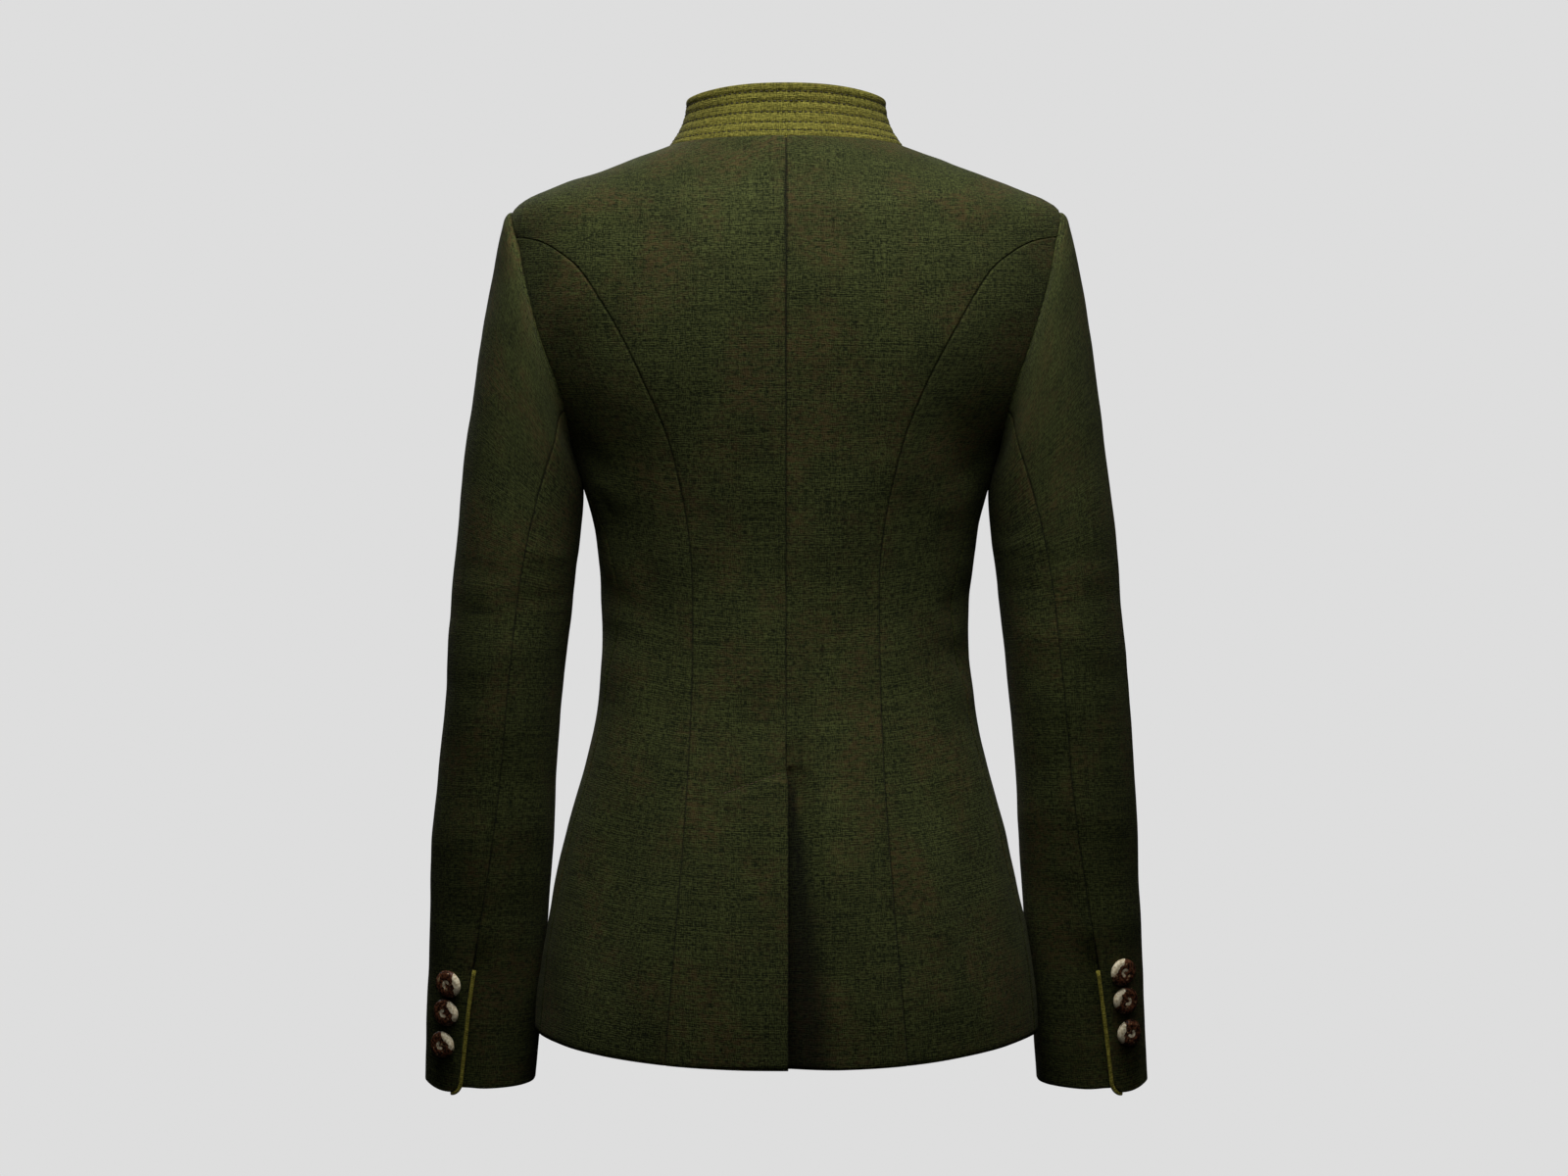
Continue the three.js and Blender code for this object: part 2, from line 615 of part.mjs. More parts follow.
// A narrow bead along the flap's edge and round its corner, from the vent's top to the hem.
function pipingNets([outerEdge, innerEdge]) {
  const first = sleeveRows.indexOf(ventTopRow);
  const outer = [];
  const inner = [];
  for (let i = first; i < outerEdge.length; i++) {
    const here = outerEdge[i];
    const next = outerEdge[Math.min(i + 1, outerEdge.length - 1)];
    const along = next.clone().sub(outerEdge[Math.max(i - 1, first)]);
    const out = here.clone().sub(innerEdge[i]).normalize();
    const away = along.cross(out).negate().normalize();
    const at = (across, deep) =>
      here.clone().addScaledVector(away, SEAM_GAP + across * PIPING.wide).addScaledVector(out, -deep);
    outer.push([at(0, 0.35), at(0.3, 0), at(0.7, 0), at(1, 0.5)]);
    inner.push([0, 0.3, 0.7, 1].map((across) => at(across, PIPING.deep)));
  }
  return [outer, inner];
}

// ---- Collar ----

// How high the ribs stand at a share of the collar's height.
function ribAt(share) {
  const edges = COLLAR.ribEdges;
  const i = clamp(edges.findIndex((edge) => edge > share) - 1, 0, edges.length - 2);
  const across = clamp((share - edges[i]) / (edges[i + 1] - edges[i]), 0, 1);
  return COLLAR.ribHeight * Math.pow(Math.sin(Math.PI * across), 0.6);
}

// A point of the neck seam, on the straight edges between the points of the panels below it.
function neckSeam(angle) {
  if (angle > 90) return neckSeam(180 - angle).multiply(new THREE.Vector3(-1, 1, 1));
  const overlapped = angleAtX(FRONT_OVERLAP, NECK, -1);
  const [from, to, columns] =
    angle < overlapped ? [-90, overlapped, 1]
    : angle < 0 ? [overlapped, 0, FRONT_COLUMNS.at(-1)]
    : [0, 90, BACK_COLUMNS];
  const at = ((angle - from) / (to - from)) * columns;
  const i = Math.min(Math.floor(at), columns - 1);
  const [start, end] = [i, i + 1].map((k) => torsoPoint(lerp(from, to, k / columns), NECK));
  return start.lerp(end, at - i);
}

function collarPiece() {
  const shares = COLLAR.ribEdges.slice(1).flatMap((edge, i) => {
    const from = COLLAR.ribEdges[i];
    return Array.from({ length: RIB_ROWS }, (_, k) => lerp(from, edge, k / RIB_ROWS));
  });
  shares.push(1);
  const corners = [0, 0.15, 0.5, 1].map((share) =>
    angleAtX(COLLAR.fromCentre + COLLAR.corner * share, NECK, -1),
  );
  const middle = Array.from({ length: COLLAR_COLUMNS - 1 }, (_, i) =>
    lerp(corners.at(-1), 180 - corners.at(-1), (i + 1) / COLLAR_COLUMNS),
  );
  const angles = [...corners, ...middle, ...corners.map((angle) => 180 - angle).toReversed()];
  const profile = (key, angle) => {
    const s = Math.sin(degToRad(angle));
    return lerp(COLLAR[key].side, COLLAR[key][s > 0 ? "back" : "front"], s * s);
  };
  const outer = [];
  const inner = [];
  for (const share of shares) {
    const outerRow = [];
    const innerRow = [];
    for (const angle of angles) {
      const foot = neckSeam(angle);
      const along = torsoPoint(angle + 0.5, NECK).sub(torsoPoint(angle - 0.5, NECK));
      const out = new THREE.Vector3(along.y, -along.x, 0).normalize();
      const fromEnd = Math.max(Math.abs(foot.x) - COLLAR.fromCentre, 0);
      const cut = foot.y < 0 ? cornerCut(fromEnd, COLLAR.corner) : 0;
      const lean = profile("lean", angle) * (1 - Math.pow(1 - share, COLLAR.flare));
      const p = foot.clone().addScaledVector(out, -lean);
      p.z += SEAM_GAP + profile("rise", angle) * share - cut * share ** 3;
      outerRow.push(p.clone().addScaledVector(out, ribAt(share)));
      innerRow.push(p.clone().addScaledVector(out, -COLLAR.thick));
    }
    outer.push(outerRow);
    inner.push(innerRow);
  }
  return piece("collar", wall(outer, inner), CONTRAST);
}

// ---- Buttons ----

// A slice of horn with a bevelled rim on its thread shank, over `seat` with its axis along `out`.
function button(name, seat, out, { across, thick, lift }) {
  const rim = [[0.86, 0], [1, 0.42], [0.95, 0.66], [0.78, 0.96], [0.5, 0.9]];
  const profile = [
    [BUTTON_SHANK, SEAM_GAP - lift],
    [BUTTON_SHANK, 0],
    ...rim.map(([r, h]) => [(r * across) / 2, h * thick]),
  ];
  const turnToAxis = new THREE.Quaternion().setFromUnitVectors(new THREE.Vector3(0, 0, 1), out);
  const at = ([r, h], i) => {
    const a = (2 * Math.PI * (i % BUTTON_SIDES)) / BUTTON_SIDES;
    return new THREE.Vector3(r * Math.cos(a), r * Math.sin(a), h + lift)
      .applyQuaternion(turnToAxis)
      .add(seat);
  };
  const [first, last] = [profile[0], profile.at(-1)];
  const corners = [];
  for (let i = 0; i < BUTTON_SIDES; i++) {
    corners.push(at([0, first[1]], 0), at(first, i + 1), at(first, i));
    corners.push(at([0, last[1]], 0), at(last, i), at(last, i + 1));
    for (let k = 0; k + 1 < profile.length; k++) {
      const [a, b] = [at(profile[k], i), at(profile[k], i + 1)];
      const [c, d] = [at(profile[k + 1], i + 1), at(profile[k + 1], i)];
      corners.push(a, b, c, a, c, d);
    }
  }
  return piece(name, new THREE.BufferGeometry().setFromPoints(corners), HORN);
}

function frontButtons() {
  return Array.from({ length: FRONT_BUTTON.count }, (_, i) => {
    const level = levelAt(FRONT_BUTTON.top - i * FRONT_BUTTON.pitch, () => -90);
    const [seat, out] = [torsoPoint(-90, level), torsoNormal(-90, level)];
    return button(`front_button_${i + 1}`, seat, out, FRONT_BUTTON);
  });
}

function cuffButtons(side, mirrored) {
  const flip = new THREE.Vector3(mirrored ? -1 : 1, 1, 1);
  return CUFF_BUTTON_PLACES.map(({ turn, z }, i) => {
    const row = rowAtHeight(z - CUFF_BUTTON_DROP[side]);
    const seat = sleevePoint(turn, row).multiply(flip);
    const out = sleeveNormal(turn, row).multiply(flip);
    return button(`cuff_button_${side}_${i + 1}`, seat, out, CUFF_BUTTON);
  });
}

// ---- The jacket ----

const jacket = new THREE.Group();
jacket.name = "linen_jacket";
jacket.add(...torsoPieces(), collarPiece(), ...frontButtons());
for (const [side, mirrored] of [["left", false], ["right", true]]) {
  jacket.add(...sleevePieces(side, mirrored), ...cuffButtons(side, mirrored));
}

export default jacket;
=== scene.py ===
# The looks of the linen jacket: finely netted cloth on the same surfaces as the part's solids.
import math

import bpy
import numpy as np
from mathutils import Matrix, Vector


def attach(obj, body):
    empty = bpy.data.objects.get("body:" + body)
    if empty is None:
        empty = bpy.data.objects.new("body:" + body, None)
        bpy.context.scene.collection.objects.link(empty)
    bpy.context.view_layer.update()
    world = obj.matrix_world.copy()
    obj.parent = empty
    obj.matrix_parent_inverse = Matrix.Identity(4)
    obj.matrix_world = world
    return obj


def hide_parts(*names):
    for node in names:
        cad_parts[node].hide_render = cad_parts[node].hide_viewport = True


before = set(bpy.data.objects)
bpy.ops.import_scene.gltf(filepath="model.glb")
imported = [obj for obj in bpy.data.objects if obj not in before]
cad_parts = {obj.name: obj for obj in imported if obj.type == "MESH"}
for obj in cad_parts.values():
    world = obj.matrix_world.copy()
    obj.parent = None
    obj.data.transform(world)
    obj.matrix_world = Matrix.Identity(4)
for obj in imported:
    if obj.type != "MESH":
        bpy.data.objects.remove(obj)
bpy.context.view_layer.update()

MM = 0.001
FINE = 8  # rows and columns of a net for each one in the solids
FAR = 1e3  # mm, beyond the reach of any edge
CLOTH = 1.3  # thickness of the visible cloth, mm
WALL = 2  # thickness of the solids' walls, mm
LAPPED = WALL + 0.7  # how far a lapped edge lies below the cloth over it, mm
SEAM_SHADE_WIDTH = 0.5  # half width of the painted shade along a seam, mm
FRONT_OVERLAP = 16  # how far each front runs past the middle, mm
FRONT_RISE = 32, 54  # mm from the middle, between which the lapped front comes up
VENT = {"top": -420, "slant_to": -434, "fade_from": -394, "underlap": 41, "overlap": 1.5}
# The hollow beside the vent's edge, at its top and at the hem: from where it runs, how wide and
# how deep it is, and how wide the painted shade over it is, mm.
VENT_HOLLOW = {
    "tall": 200, "from": (8, 2), "wide": (13, 34), "deep": (LAPPED, 20), "shade": (3, 46)}
CUFF_VENT = {"top": -562, "underlap": 17, "corner": 6.5, "dip": 3}
# Where a sleeve rests against the torso: its height and reach in mm, then how wide in degrees and
# how far out in mm, for each of the two.
CONTACT = {"height": -215, "reach": 20, "torso": (18, 0.9), "sleeve": (24, 1.3)}


# ---- Tables: the garment's cut, in millimetres ----

def table(columns, rows):
    return {name: np.array([row[i] for row in rows], float) for i, name in enumerate(columns)}


TORSO = table(
    ["sideX", "sideZ", "backY", "backZ", "frontY", "frontZ", "centre", "side"],
    [
        [171.8, -603, 116, -620, -121, -625, 0.86, 0.9],
        [168.5, -566, 115, -576, -121, -578, 0.86, 0.9],
        [161.5, -522, 111, -526, -119, -526, 0.86, 0.9],
        [150.3, -471, 102, -472, -115, -472, 0.86, 0.9],
        [137.5, -421, 91, -421, -110, -421, 0.86, 0.9],
        [128.3, -375, 82.5, -375, -107, -375, 0.87, 0.91],
        [124.5, -322, 80, -322, -107, -322, 0.88, 0.92],
        [130, -268, 84.5, -268, -112, -268, 0.87, 0.92],
        [139, -230, 90, -230, -118, -230, 0.86, 0.93],
        [147.5, -203, 94, -202, -121, -205, 0.86, 0.95],
        [170, -172, 97.5, -168, -119, -178, 0.87, 1],
        [185, -140, 99.5, -135, -114, -153, 0.87, 1],
        [190, -106, 99.5, -103, -106, -129, 0.87, 1],
        [190, -73, 96.5, -74, -96, -108, 0.87, 1.03],
        [185.5, -44.5, 90, -47, -85, -93, 0.88, 1.15],
        [152, -27, 80, -28, -76, -86, 0.89, 1.15],
        [115, -13.6, 71, -11.6, -68.5, -79, 0.9, 1.1],
        [79.4, 0, 62, 2, -62, -72, 0.9, 1],
    ],
)
HEM, ARMHOLE_FOOT, SHOULDER_POINT, NECK = 0, 9, 14, 17
# Full and flat places: face (1 back, -1 front), x, z, half width, half height, how far out.
FULLNESS = [
    (-1, 76, -222, 40, 52, 17), (1, 78, -128, 46, 62, 4), (1, 0, -165, 16, 90, -2.5),
    (1, 92, -560, 26, 70, 4.5), (1, 138, -585, 18, 60, 4), (-1, 112, -575, 26, 66, 4),
]
ARMHOLE = {"foot": 3, "back": 47, "front": 50, "egg": 0.18, "sag": 8}
BACK_SEAM_TURN, FRONT_SEAM_TURN, SEAM_SPLIT = 37, -50, 0.695
BACK_SEAM = [
    (80.5, -620), (77.5, -581), (71.6, -511), (66.5, -442), (63.4, -372), (62.8, -322.5),
    (63.4, -284), (68.6, -245), (78.8, -202.8), (93.2, -167.8), (111, -132.3), (133.8, -93.3),
    (150.2, -77.5), (166, -68),
]
FRONT_SEAM = [
    (84, -620), (80, -550), (74, -470), (68, -390), (66, -322), (72, -262), (82, -212),
    (96, -168), (118, -136), (146, -110),
]
SIDE_SEAM = [
    (12, -604), (14, -520), (17, -425), (20, -365), (26, -325), (26, -290), (19, -255), (8, -225),
]
BACK_HEIGHTS = [
    -620, -588, -556, -524, -493, -463, -434, -420, -394, -362, -330, -298,
    -266, -235, -205, -188, -171, -154, -137, -120, -104, -88, -73, -58, -50, -42, -34, -22, -10, 2,
]
FRONT_HEIGHTS = [
    -625, -594, -564, -534, -504, -474, -444, -414, -384, -354, -324, -294, -264, -234, -204,
    -194, -184, -174, -164, -154, -144, -134, -124, -114, -106, -99, -93, -86, -79, -72,
]
SLEEVE = table(
    ["outerX", "outerZ", "innerX", "innerZ", "midY", "halfDepth", "backSeam", "frontSeam"],
    [
        [185.5, -44.5, 147.9, -203.3, 0, 48, 133, -120],
        [189.8, -47.3, 147.2, -206.5, 0, 50.5, 132, -119],
        [194.6, -60.5, 145.1, -213.5, 0, 54, 129, -117],
        [199.8, -84, 141.8, -223, -1, 57, 125, -115],
        [206.5, -118, 138.9, -233, -2, 59, 120, -113],
        [212.7, -160, 138.6, -246, -3, 59.5, 114, -111],
        [218.6, -205, 140.3, -264, -4, 58.5, 108, -110],
        [224, -255, 143.6, -287, -5, 57, 103, -110],
        [228.9, -310, 147, -318, -6, 54, 99.5, -110],
        [234.3, -372, 152.8, -374, -8, 50, 98, -110],
        [239.8, -440, 158, -440, -15, 46, 96.4, -110],
        [243.9, -510, 162.4, -510, -24, 42.5, 88, -110],
        [247.3, -575, 168.3, -575, -34, 40, 78, -110],
        [249.8, -641, 174, -641, -45, 38.5, 69.5, -110],
    ],
)
CUFF = len(SLEEVE["outerX"]) - 1
CUFF_HEM = -641
BACK_TURNS = [180, 165, 149, 133, 117, 101, 85, 68, 52, BACK_SEAM_TURN]
BACK_TOP_TURNS = [25, 12]
FRONT_TURNS = [-180, -165, -150, -135, -120, -106, -92, -78, -64, FRONT_SEAM_TURN]
FRONT_TOP_TURNS = [-34, -17]
SIDE_ROWS = 14

COLLAR = {
    "rise": (31.6, 36.4, 31), "lean": (12.1, 10.5, 7), "flare": 2.2, "thick": 2.2,
    "from_centre": 3, "corner": 6, "rib_height": 0.85,
    "edges": [0, 0.1, 0.255, 0.45, 0.655, 0.84, 1],
}
CUFF_BUTTON = {"across": 19.6, "thick": 4.8, "lift": 0.9}
CUFF_BUTTON_PLACES = [(57, -567), (55.5, -586), (52.5, -607.5)]  # turn, z
FRONT_BUTTON = {"top": -95, "pitch": 72, "count": 5, "across": 21, "thick": 5, "lift": 1.2}


# ---- Small tools ----

def lerp(a, b, t):
    return a + (b - a) * t


def smoothstep(x, low, high):
    t = np.clip((np.asarray(x, float) - low) / (high - low), 0, 1)
    return t * t * (3 - 2 * t)


def power(value, exponent):
    return np.sign(value) * np.abs(value) ** exponent


def unit(v):
    return v / np.maximum(np.linalg.norm(v, axis=-1, keepdims=True), 1e-9)


def read(rows, column, at):
    """A table's column at these rows, smooth between them."""
    values = rows[column]
    at = np.asarray(at, float)
    last = len(values) - 1
    i = np.clip(np.floor(at).astype(int), 0, last - 1)
    t = at - i
    p1, p2 = values[i], values[i + 1]
    p0 = np.where(i > 0, values[np.maximum(i - 1, 0)], 2 * p1 - p2)
    p3 = np.where(i + 2 <= last, values[np.minimum(i + 2, last)], 2 * p2 - p1)
    t2, t3 = t * t, t * t * t
    return (
        (2 * t3 - 3 * t2 + 1) * p1 + (t3 - 2 * t2 + t) * (p2 - p0) / 2
        + (3 * t2 - 2 * t3) * p2 + (t3 - t2) * (p3 - p1) / 2
    )


def solve(rising, target, low, high):
    """Where a rising function reaches the target."""
    target = np.asarray(target, float)
    low, high = np.full(target.shape, float(low)), np.full(target.shape, float(high))
    for _ in range(34):
        middle = (low + high) / 2
        under = rising(middle) < target
        low, high = np.where(under, middle, low), np.where(under, high, middle)
    return (low + high) / 2


def refine(values, factor):
    """The values with this many steps for each one, evenly between them."""
    at = np.arange((len(values) - 1) * factor + 1) / factor
    return np.interp(at, np.arange(len(values)), values)


def spline(points, samples=200):
    """A dense line on the uniform Catmull-Rom curve through the points."""
    p = np.array(points, float)
    last = len(p) - 1
    at = np.linspace(0, last, last * samples + 1)
    i = np.clip(np.floor(at).astype(int), 0, last - 1)
    t = (at - i)[:, None]
    p0, p1, p2 = p[np.maximum(i - 1, 0)], p[i], p[i + 1]
    p3 = p[np.minimum(i + 2, last)]
    v0, v1 = (p2 - p0) / 2, (p3 - p1) / 2
    t2, t3 = t * t, t * t * t
    return (2 * p1 - 2 * p2 + v0 + v1) * t3 + (-3 * p1 + 3 * p2 - 2 * v0 - v1) * t2 + v0 * t + p1


def lengths(net):
    """How far each point lies along its line, or along its row in a net."""
    steps = np.linalg.norm(np.diff(net, axis=-2), axis=-1)
    return np.pad(np.cumsum(steps, axis=-1), [(0, 0)] * (steps.ndim - 1) + [(1, 0)])


# ---- Surfaces ----

def torso_point(angle, level):
    """A place on the body: degrees from its left side to the back, level up from the hem."""
    angle, level = np.broadcast_arrays(np.asarray(angle, float), np.asarray(level, float))
    c, s = np.cos(np.radians(angle)), np.sin(np.radians(angle))
    back = s >= 0
    side_z = read(TORSO, "sideZ", level)
    centre_z = np.where(back, read(TORSO, "backZ", level), read(TORSO, "frontZ", level))
    depth = np.where(back, read(TORSO, "backY", level), read(TORSO, "frontY", level))
    x = read(TORSO, "sideX", level) * power(c, read(TORSO, "centre", level))
    z = side_z + (centre_z - side_z) * s * s
    y = depth * np.abs(s) ** read(TORSO, "side", level)
    for face, at_x, at_z, wide, high, out in FULLNESS:
        swell = np.exp(-(((np.abs(x) - at_x) / wide) ** 2) - ((z - at_z) / high) ** 2)
        on = back if face > 0 else ~back
        y = y + np.where(on, face * out * swell * np.minimum(1, 1.6 * np.abs(s)), 0)
    return np.stack([x, y, z], -1)


def normal_of(surface, u, v, du, dv, last):
    along = surface(u + du, v) - surface(u - du, v)
    up = surface(u, np.minimum(v + dv, last)) - surface(u, np.maximum(v - dv, 0))
    return unit(np.cross(along, up))


def torso_normal(angle, level):
    return normal_of(torso_point, angle, level, 0.5, 0.03, NECK)


def angle_at_x(x, level, face):
    share = np.clip(x / read(TORSO, "sideX", level), -1, 1)
    return face * np.degrees(np.arccos(power(share, 1 / read(TORSO, "centre", level))))


def angle_at_y(y, level):
    depth = np.where(y > 0, read(TORSO, "backY", level), read(TORSO, "frontY", level))
    sine = np.abs(y / depth) ** (1 / read(TORSO, "side", level))
    return np.sign(y) * np.degrees(np.arcsin(np.minimum(1, sine)))


def level_at(z, angle_at, top=NECK):
    return solve(lambda level: torso_point(angle_at(level), level)[..., 2], z, HEM, top)


def armhole_places(turn):
    turn = np.asarray(turn, float)
    c, s = np.cos(np.radians(turn)), np.sin(np.radians(turn))
    top, foot = TORSO["sideZ"][SHOULDER_POINT], TORSO["sideZ"][ARMHOLE_FOOT]
    z = (top + foot) / 2 + (top - foot) / 2 * c - ARMHOLE["sag"] * s * s
    reach = np.where(s > 0, ARMHOLE["back"], ARMHOLE["front"])
    y = reach * s * (1 - ARMHOLE["egg"] * c) + ARMHOLE["foot"] * (1 - c) / 2
    level = level_at(z, lambda at: angle_at_y(y, at), SHOULDER_POINT)
    return np.stack([angle_at_y(y, level), level], -1)


def drawn_seam(drawing, face, end_turn):
    end = torso_point(*armhole_places(end_turn))
    line = spline([*drawing, (end[0], end[2])])
    run = lengths(line)
    upper = len(BACK_TURNS) - 1
    i = np.arange((SIDE_ROWS + upper) * FINE + 1) / FINE
    share = np.where(i <= SIDE_ROWS, SEAM_SPLIT * i / SIDE_ROWS,
                     lerp(SEAM_SPLIT, 1, (i - SIDE_ROWS) / upper))
    x, z = (np.interp(share * run[-1], run, line[:, k]) for k in (0, 1))
    level = level_at(z, lambda at: angle_at_x(x, at, face))
    level[0] = HEM
    places = np.stack([angle_at_x(x, level, face), level], -1)
    places[-1] = armhole_places(end_turn)
    return places


def side_seam():
    foot_angle, foot_level = armhole_places(180.0)
    foot_z = torso_point(foot_angle, foot_level)[2]
    line = spline([*SIDE_SEAM, (foot_angle, foot_z)])
    level = foot_level * np.arange(SIDE_ROWS * FINE + 1) / (SIDE_ROWS * FINE)
    z = torso_point(foot_angle, level)[:, 2]
    return np.stack([np.interp(z, line[:, 1], line[:, 0]), level], -1)


SEAM_OF_SIDE = side_seam()
SEAM_OF_BACK = drawn_seam(BACK_SEAM, 1, BACK_SEAM_TURN)
SEAM_OF_FRONT = drawn_seam(FRONT_SEAM, -1, FRONT_SEAM_TURN)
SHOULDER_SEAM = np.stack(
    [np.zeros(3 * FINE + 1), np.linspace(SHOULDER_POINT, NECK, 3 * FINE + 1)], -1)


# ---- Cloth: creases and the small unevenness of worn linen ----

rng = np.random.default_rng(7)
WAVES = []
for length, height in ((150, 0.9), (80, 0.55), (42, 0.3), (22, 0.12)):
    for _ in range(9):
        direction = unit(rng.normal(size=3) * (1, 1, 0.75))
        WAVES.append((direction * 2 * math.pi / length, rng.uniform(0, 2 * math.pi), height / 3))

# Creases: face (1 back, -1 front), x0, z0, x1, z1, width, height. x runs to the wearer's left. Each
# is a line from one end to the other, a soft trough where its height is below 0 and a ridge above.
CREASES = [
    (1, 96, -318, 132, -300, 9, -1.6), (1, 100, -336, 130, -331, 8, -1.2),
    (1, 98, -352, 124, -362, 9, 1.0), (1, -104, -318, -131, -304, 9, -1.5),
    (1, -98, -344, -128, -346, 10, -1.3), (1, -106, -362, -126, -378, 9, 1.1),
    (1, 118, -226, 140, -206, 8, -1.6), (1, -118, -228, -142, -208, 8, -1.6),
    (1, 106, -246, 128, -232, 10, 1.2), (1, -104, -250, -128, -236, 10, 1.2),
    (1, 0, -423, 43, -438, 2.6, -0.9), (1, 0, -430, 43, -445, 4.5, 0.8),
    (1, 126, -236, 116, -256, 2.6, -0.9), (1, -117, -350, -128, -371, 3, -1.0),
    (1, -90, -424, -128, -530, 17, -2.4), (1, 92, -430, 122, -520, 18, -1.8),
    (1, -44, -455, -60, -600, 24, 3.0), (1, -96, -470, -118, -590, 22, 2.2),
    (1, -78, -480, -88, -600, 16, -1.6), (1, 104, -455, 128, -560, 24, -2.4),
    (1, 40, -470, 46, -600, 26, 1.2), (1, 26, -120, 34, -230, 18, -1.0),
    (1, -26, -126, -30, -226, 18, -1.0), (1, 120, -80, 150, -120, 20, 1.2),
    (1, -120, -80, -150, -120, 20, 1.2),
    (-1, 60, -330, 110, -318, 10, -1.3), (-1, -60, -330, -110, -318, 10, -1.3),
    (-1, 120, -130, 150, -160, 12, -1.3), (-1, -120, -130, -150, -160, 12, -1.3),
    (-1, 30, -500, 36, -610, 26, 2.0), (-1, -34, -500, -44, -610, 26, 2.0),
]


def unevenness(points):
    out = np.zeros(points.shape[:-1])
    for wave, phase, height in WAVES:
        out += height * np.sin(points @ wave + phase)
    return out


def creases(points, flip):
    x, y, z = points[..., 0] * flip, points[..., 1], points[..., 2]
    out = np.zeros(x.shape)
    for face, x0, z0, x1, z1, wide, high in CREASES:
        dx, dz = x1 - x0, z1 - z0
        t = ((x - x0) * dx + (z - z0) * dz) / (dx * dx + dz * dz)
        near = np.clip(t, 0, 1)
        away = np.hypot(x - x0 - near * dx, z - z0 - near * dz)
        side = np.exp(-((away / wide) ** 2))
        side = side * smoothstep(t, -0.35, 0.3) * (1 - smoothstep(t, 0.7, 1.35))
        out += high * side * smoothstep(y * face, 0, 25)
    return out


def rolled(distance, depth=0.9, radius=0.8):
    """How far a sewn or folded edge turns in, by the distance from it."""
    return -depth * np.exp(-((np.maximum(distance, 0) / radius) ** 1.6))


def painted_seam_shade(distance):
    """How strongly painted shade darkens the cloth along a seam, by the distance from it."""
    return np.exp(-np.square(distance / SEAM_SHADE_WIDTH))


def rested(out, z, degrees, side):
    """The relief, evened where the sleeve and the torso rest against each other."""
    wide, rest = CONTACT[side]
    height = (z - CONTACT["height"]) / CONTACT["reach"]
    return lerp(out, rest, np.exp(-np.square(height) - np.square(degrees / wide)))


# ---- Meshes ----

def linked(name, points, quads, uv=None, mirrored=False):
    points = np.array(points, float) * MM
    if mirrored:
        points[:, 0] *= -1
        quads = quads[:, ::-1]
    mesh = bpy.data.meshes.new(name)
    mesh.vertices.add(len(points))
    mesh.vertices.foreach_set("co", points.astype(np.float32).ravel())
    width = quads.shape[1]
    mesh.loops.add(quads.size)
    mesh.loops.foreach_set("vertex_index", quads.astype(np.int32).ravel())
    mesh.polygons.add(len(quads))
    mesh.polygons.foreach_set("loop_start", (np.arange(len(quads)) * width).astype(np.int32))
    if uv is not None:
        layer = mesh.uv_layers.new(name="cloth")
        layer.data.foreach_set("uv", uv[quads.ravel()].astype(np.float32).ravel())
    mesh.update(calc_edges=True)
    mesh.polygons.foreach_set("use_smooth", np.ones(len(quads), bool))
    obj = bpy.data.objects.new(name, mesh)
    bpy.context.scene.collection.objects.link(obj)
    return obj


def wall_quads(rows, columns):
    index = np.arange(rows * columns).reshape(rows, columns)
    back = index + rows * columns

    def grid(a, b, c, d):
        return np.stack([a.ravel(), b.ravel(), c.ravel(), d.ravel()], -1)

    return np.concatenate([
        grid(index[:-1, :-1], index[:-1, 1:], index[1:, 1:], index[1:, :-1]),
        grid(back[:-1, :-1], back[1:, :-1], back[1:, 1:], back[:-1, 1:]),
        grid(index[0, :-1], back[0, :-1], back[0, 1:], index[0, 1:]),
        grid(index[-1, :-1], index[-1, 1:], back[-1, 1:], back[-1, :-1]),
        grid(index[:-1, 0], index[1:, 0], back[1:, 0], back[:-1, 0]),
        grid(index[:-1, -1], back[:-1, -1], back[1:, -1], index[1:, -1]),
    ])


RIGHT_WEAVE = 7.3, 3.7  # moves the weave of the right pieces on from that of the left ones, m


def cloth_piece(name, outer, normals, uv, material, slot, mirrored=False, thick=CLOTH,
                least_width=0, **marks):
    """A shell of cloth in the place of one solid, its uv in metres of the flat cloth."""
    inner = outer - normals * thick
    rows, columns = outer.shape[:2]
    points = np.concatenate([outer.reshape(-1, 3), inner.reshape(-1, 3)])
    both = np.concatenate([uv.reshape(-1, 2)] * 2) + (RIGHT_WEAVE if mirrored else (0, 0))
    obj = linked(f"cloth_{name}", points, wall_quads(rows, columns), both, mirrored)
    # Each mark becomes an attribute of the cloth's points, such as the painted shade along seams
    # and in the vent.
    for mark, values in marks.items():
        values = np.tile(np.broadcast_to(values, (rows, columns)).ravel(), 2).astype(np.float32)
        obj.data.attributes.new(mark, "FLOAT", "POINT").data.foreach_set("value", values)
    obj.data.materials.append(material)
    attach(obj, "root")
    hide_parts(name)


def column_shares(counts):
    """Shares across a panel, 0 to 1, close together at both edges."""
    inner = np.linspace(0, 1, counts)
    edge = np.array([0, 0.006, 0.013, 0.022, 0.034])
    middle = inner[(inner > 0.045) & (inner < 0.955)]
    return np.concatenate([edge, middle, 1 - edge[::-1]])


def edge_distance(net, shares):
    width = np.linalg.norm(np.diff(net, axis=1), axis=-1).sum(axis=1, keepdims=True)
    return shares[None, :] * width, (1 - shares[None, :]) * width


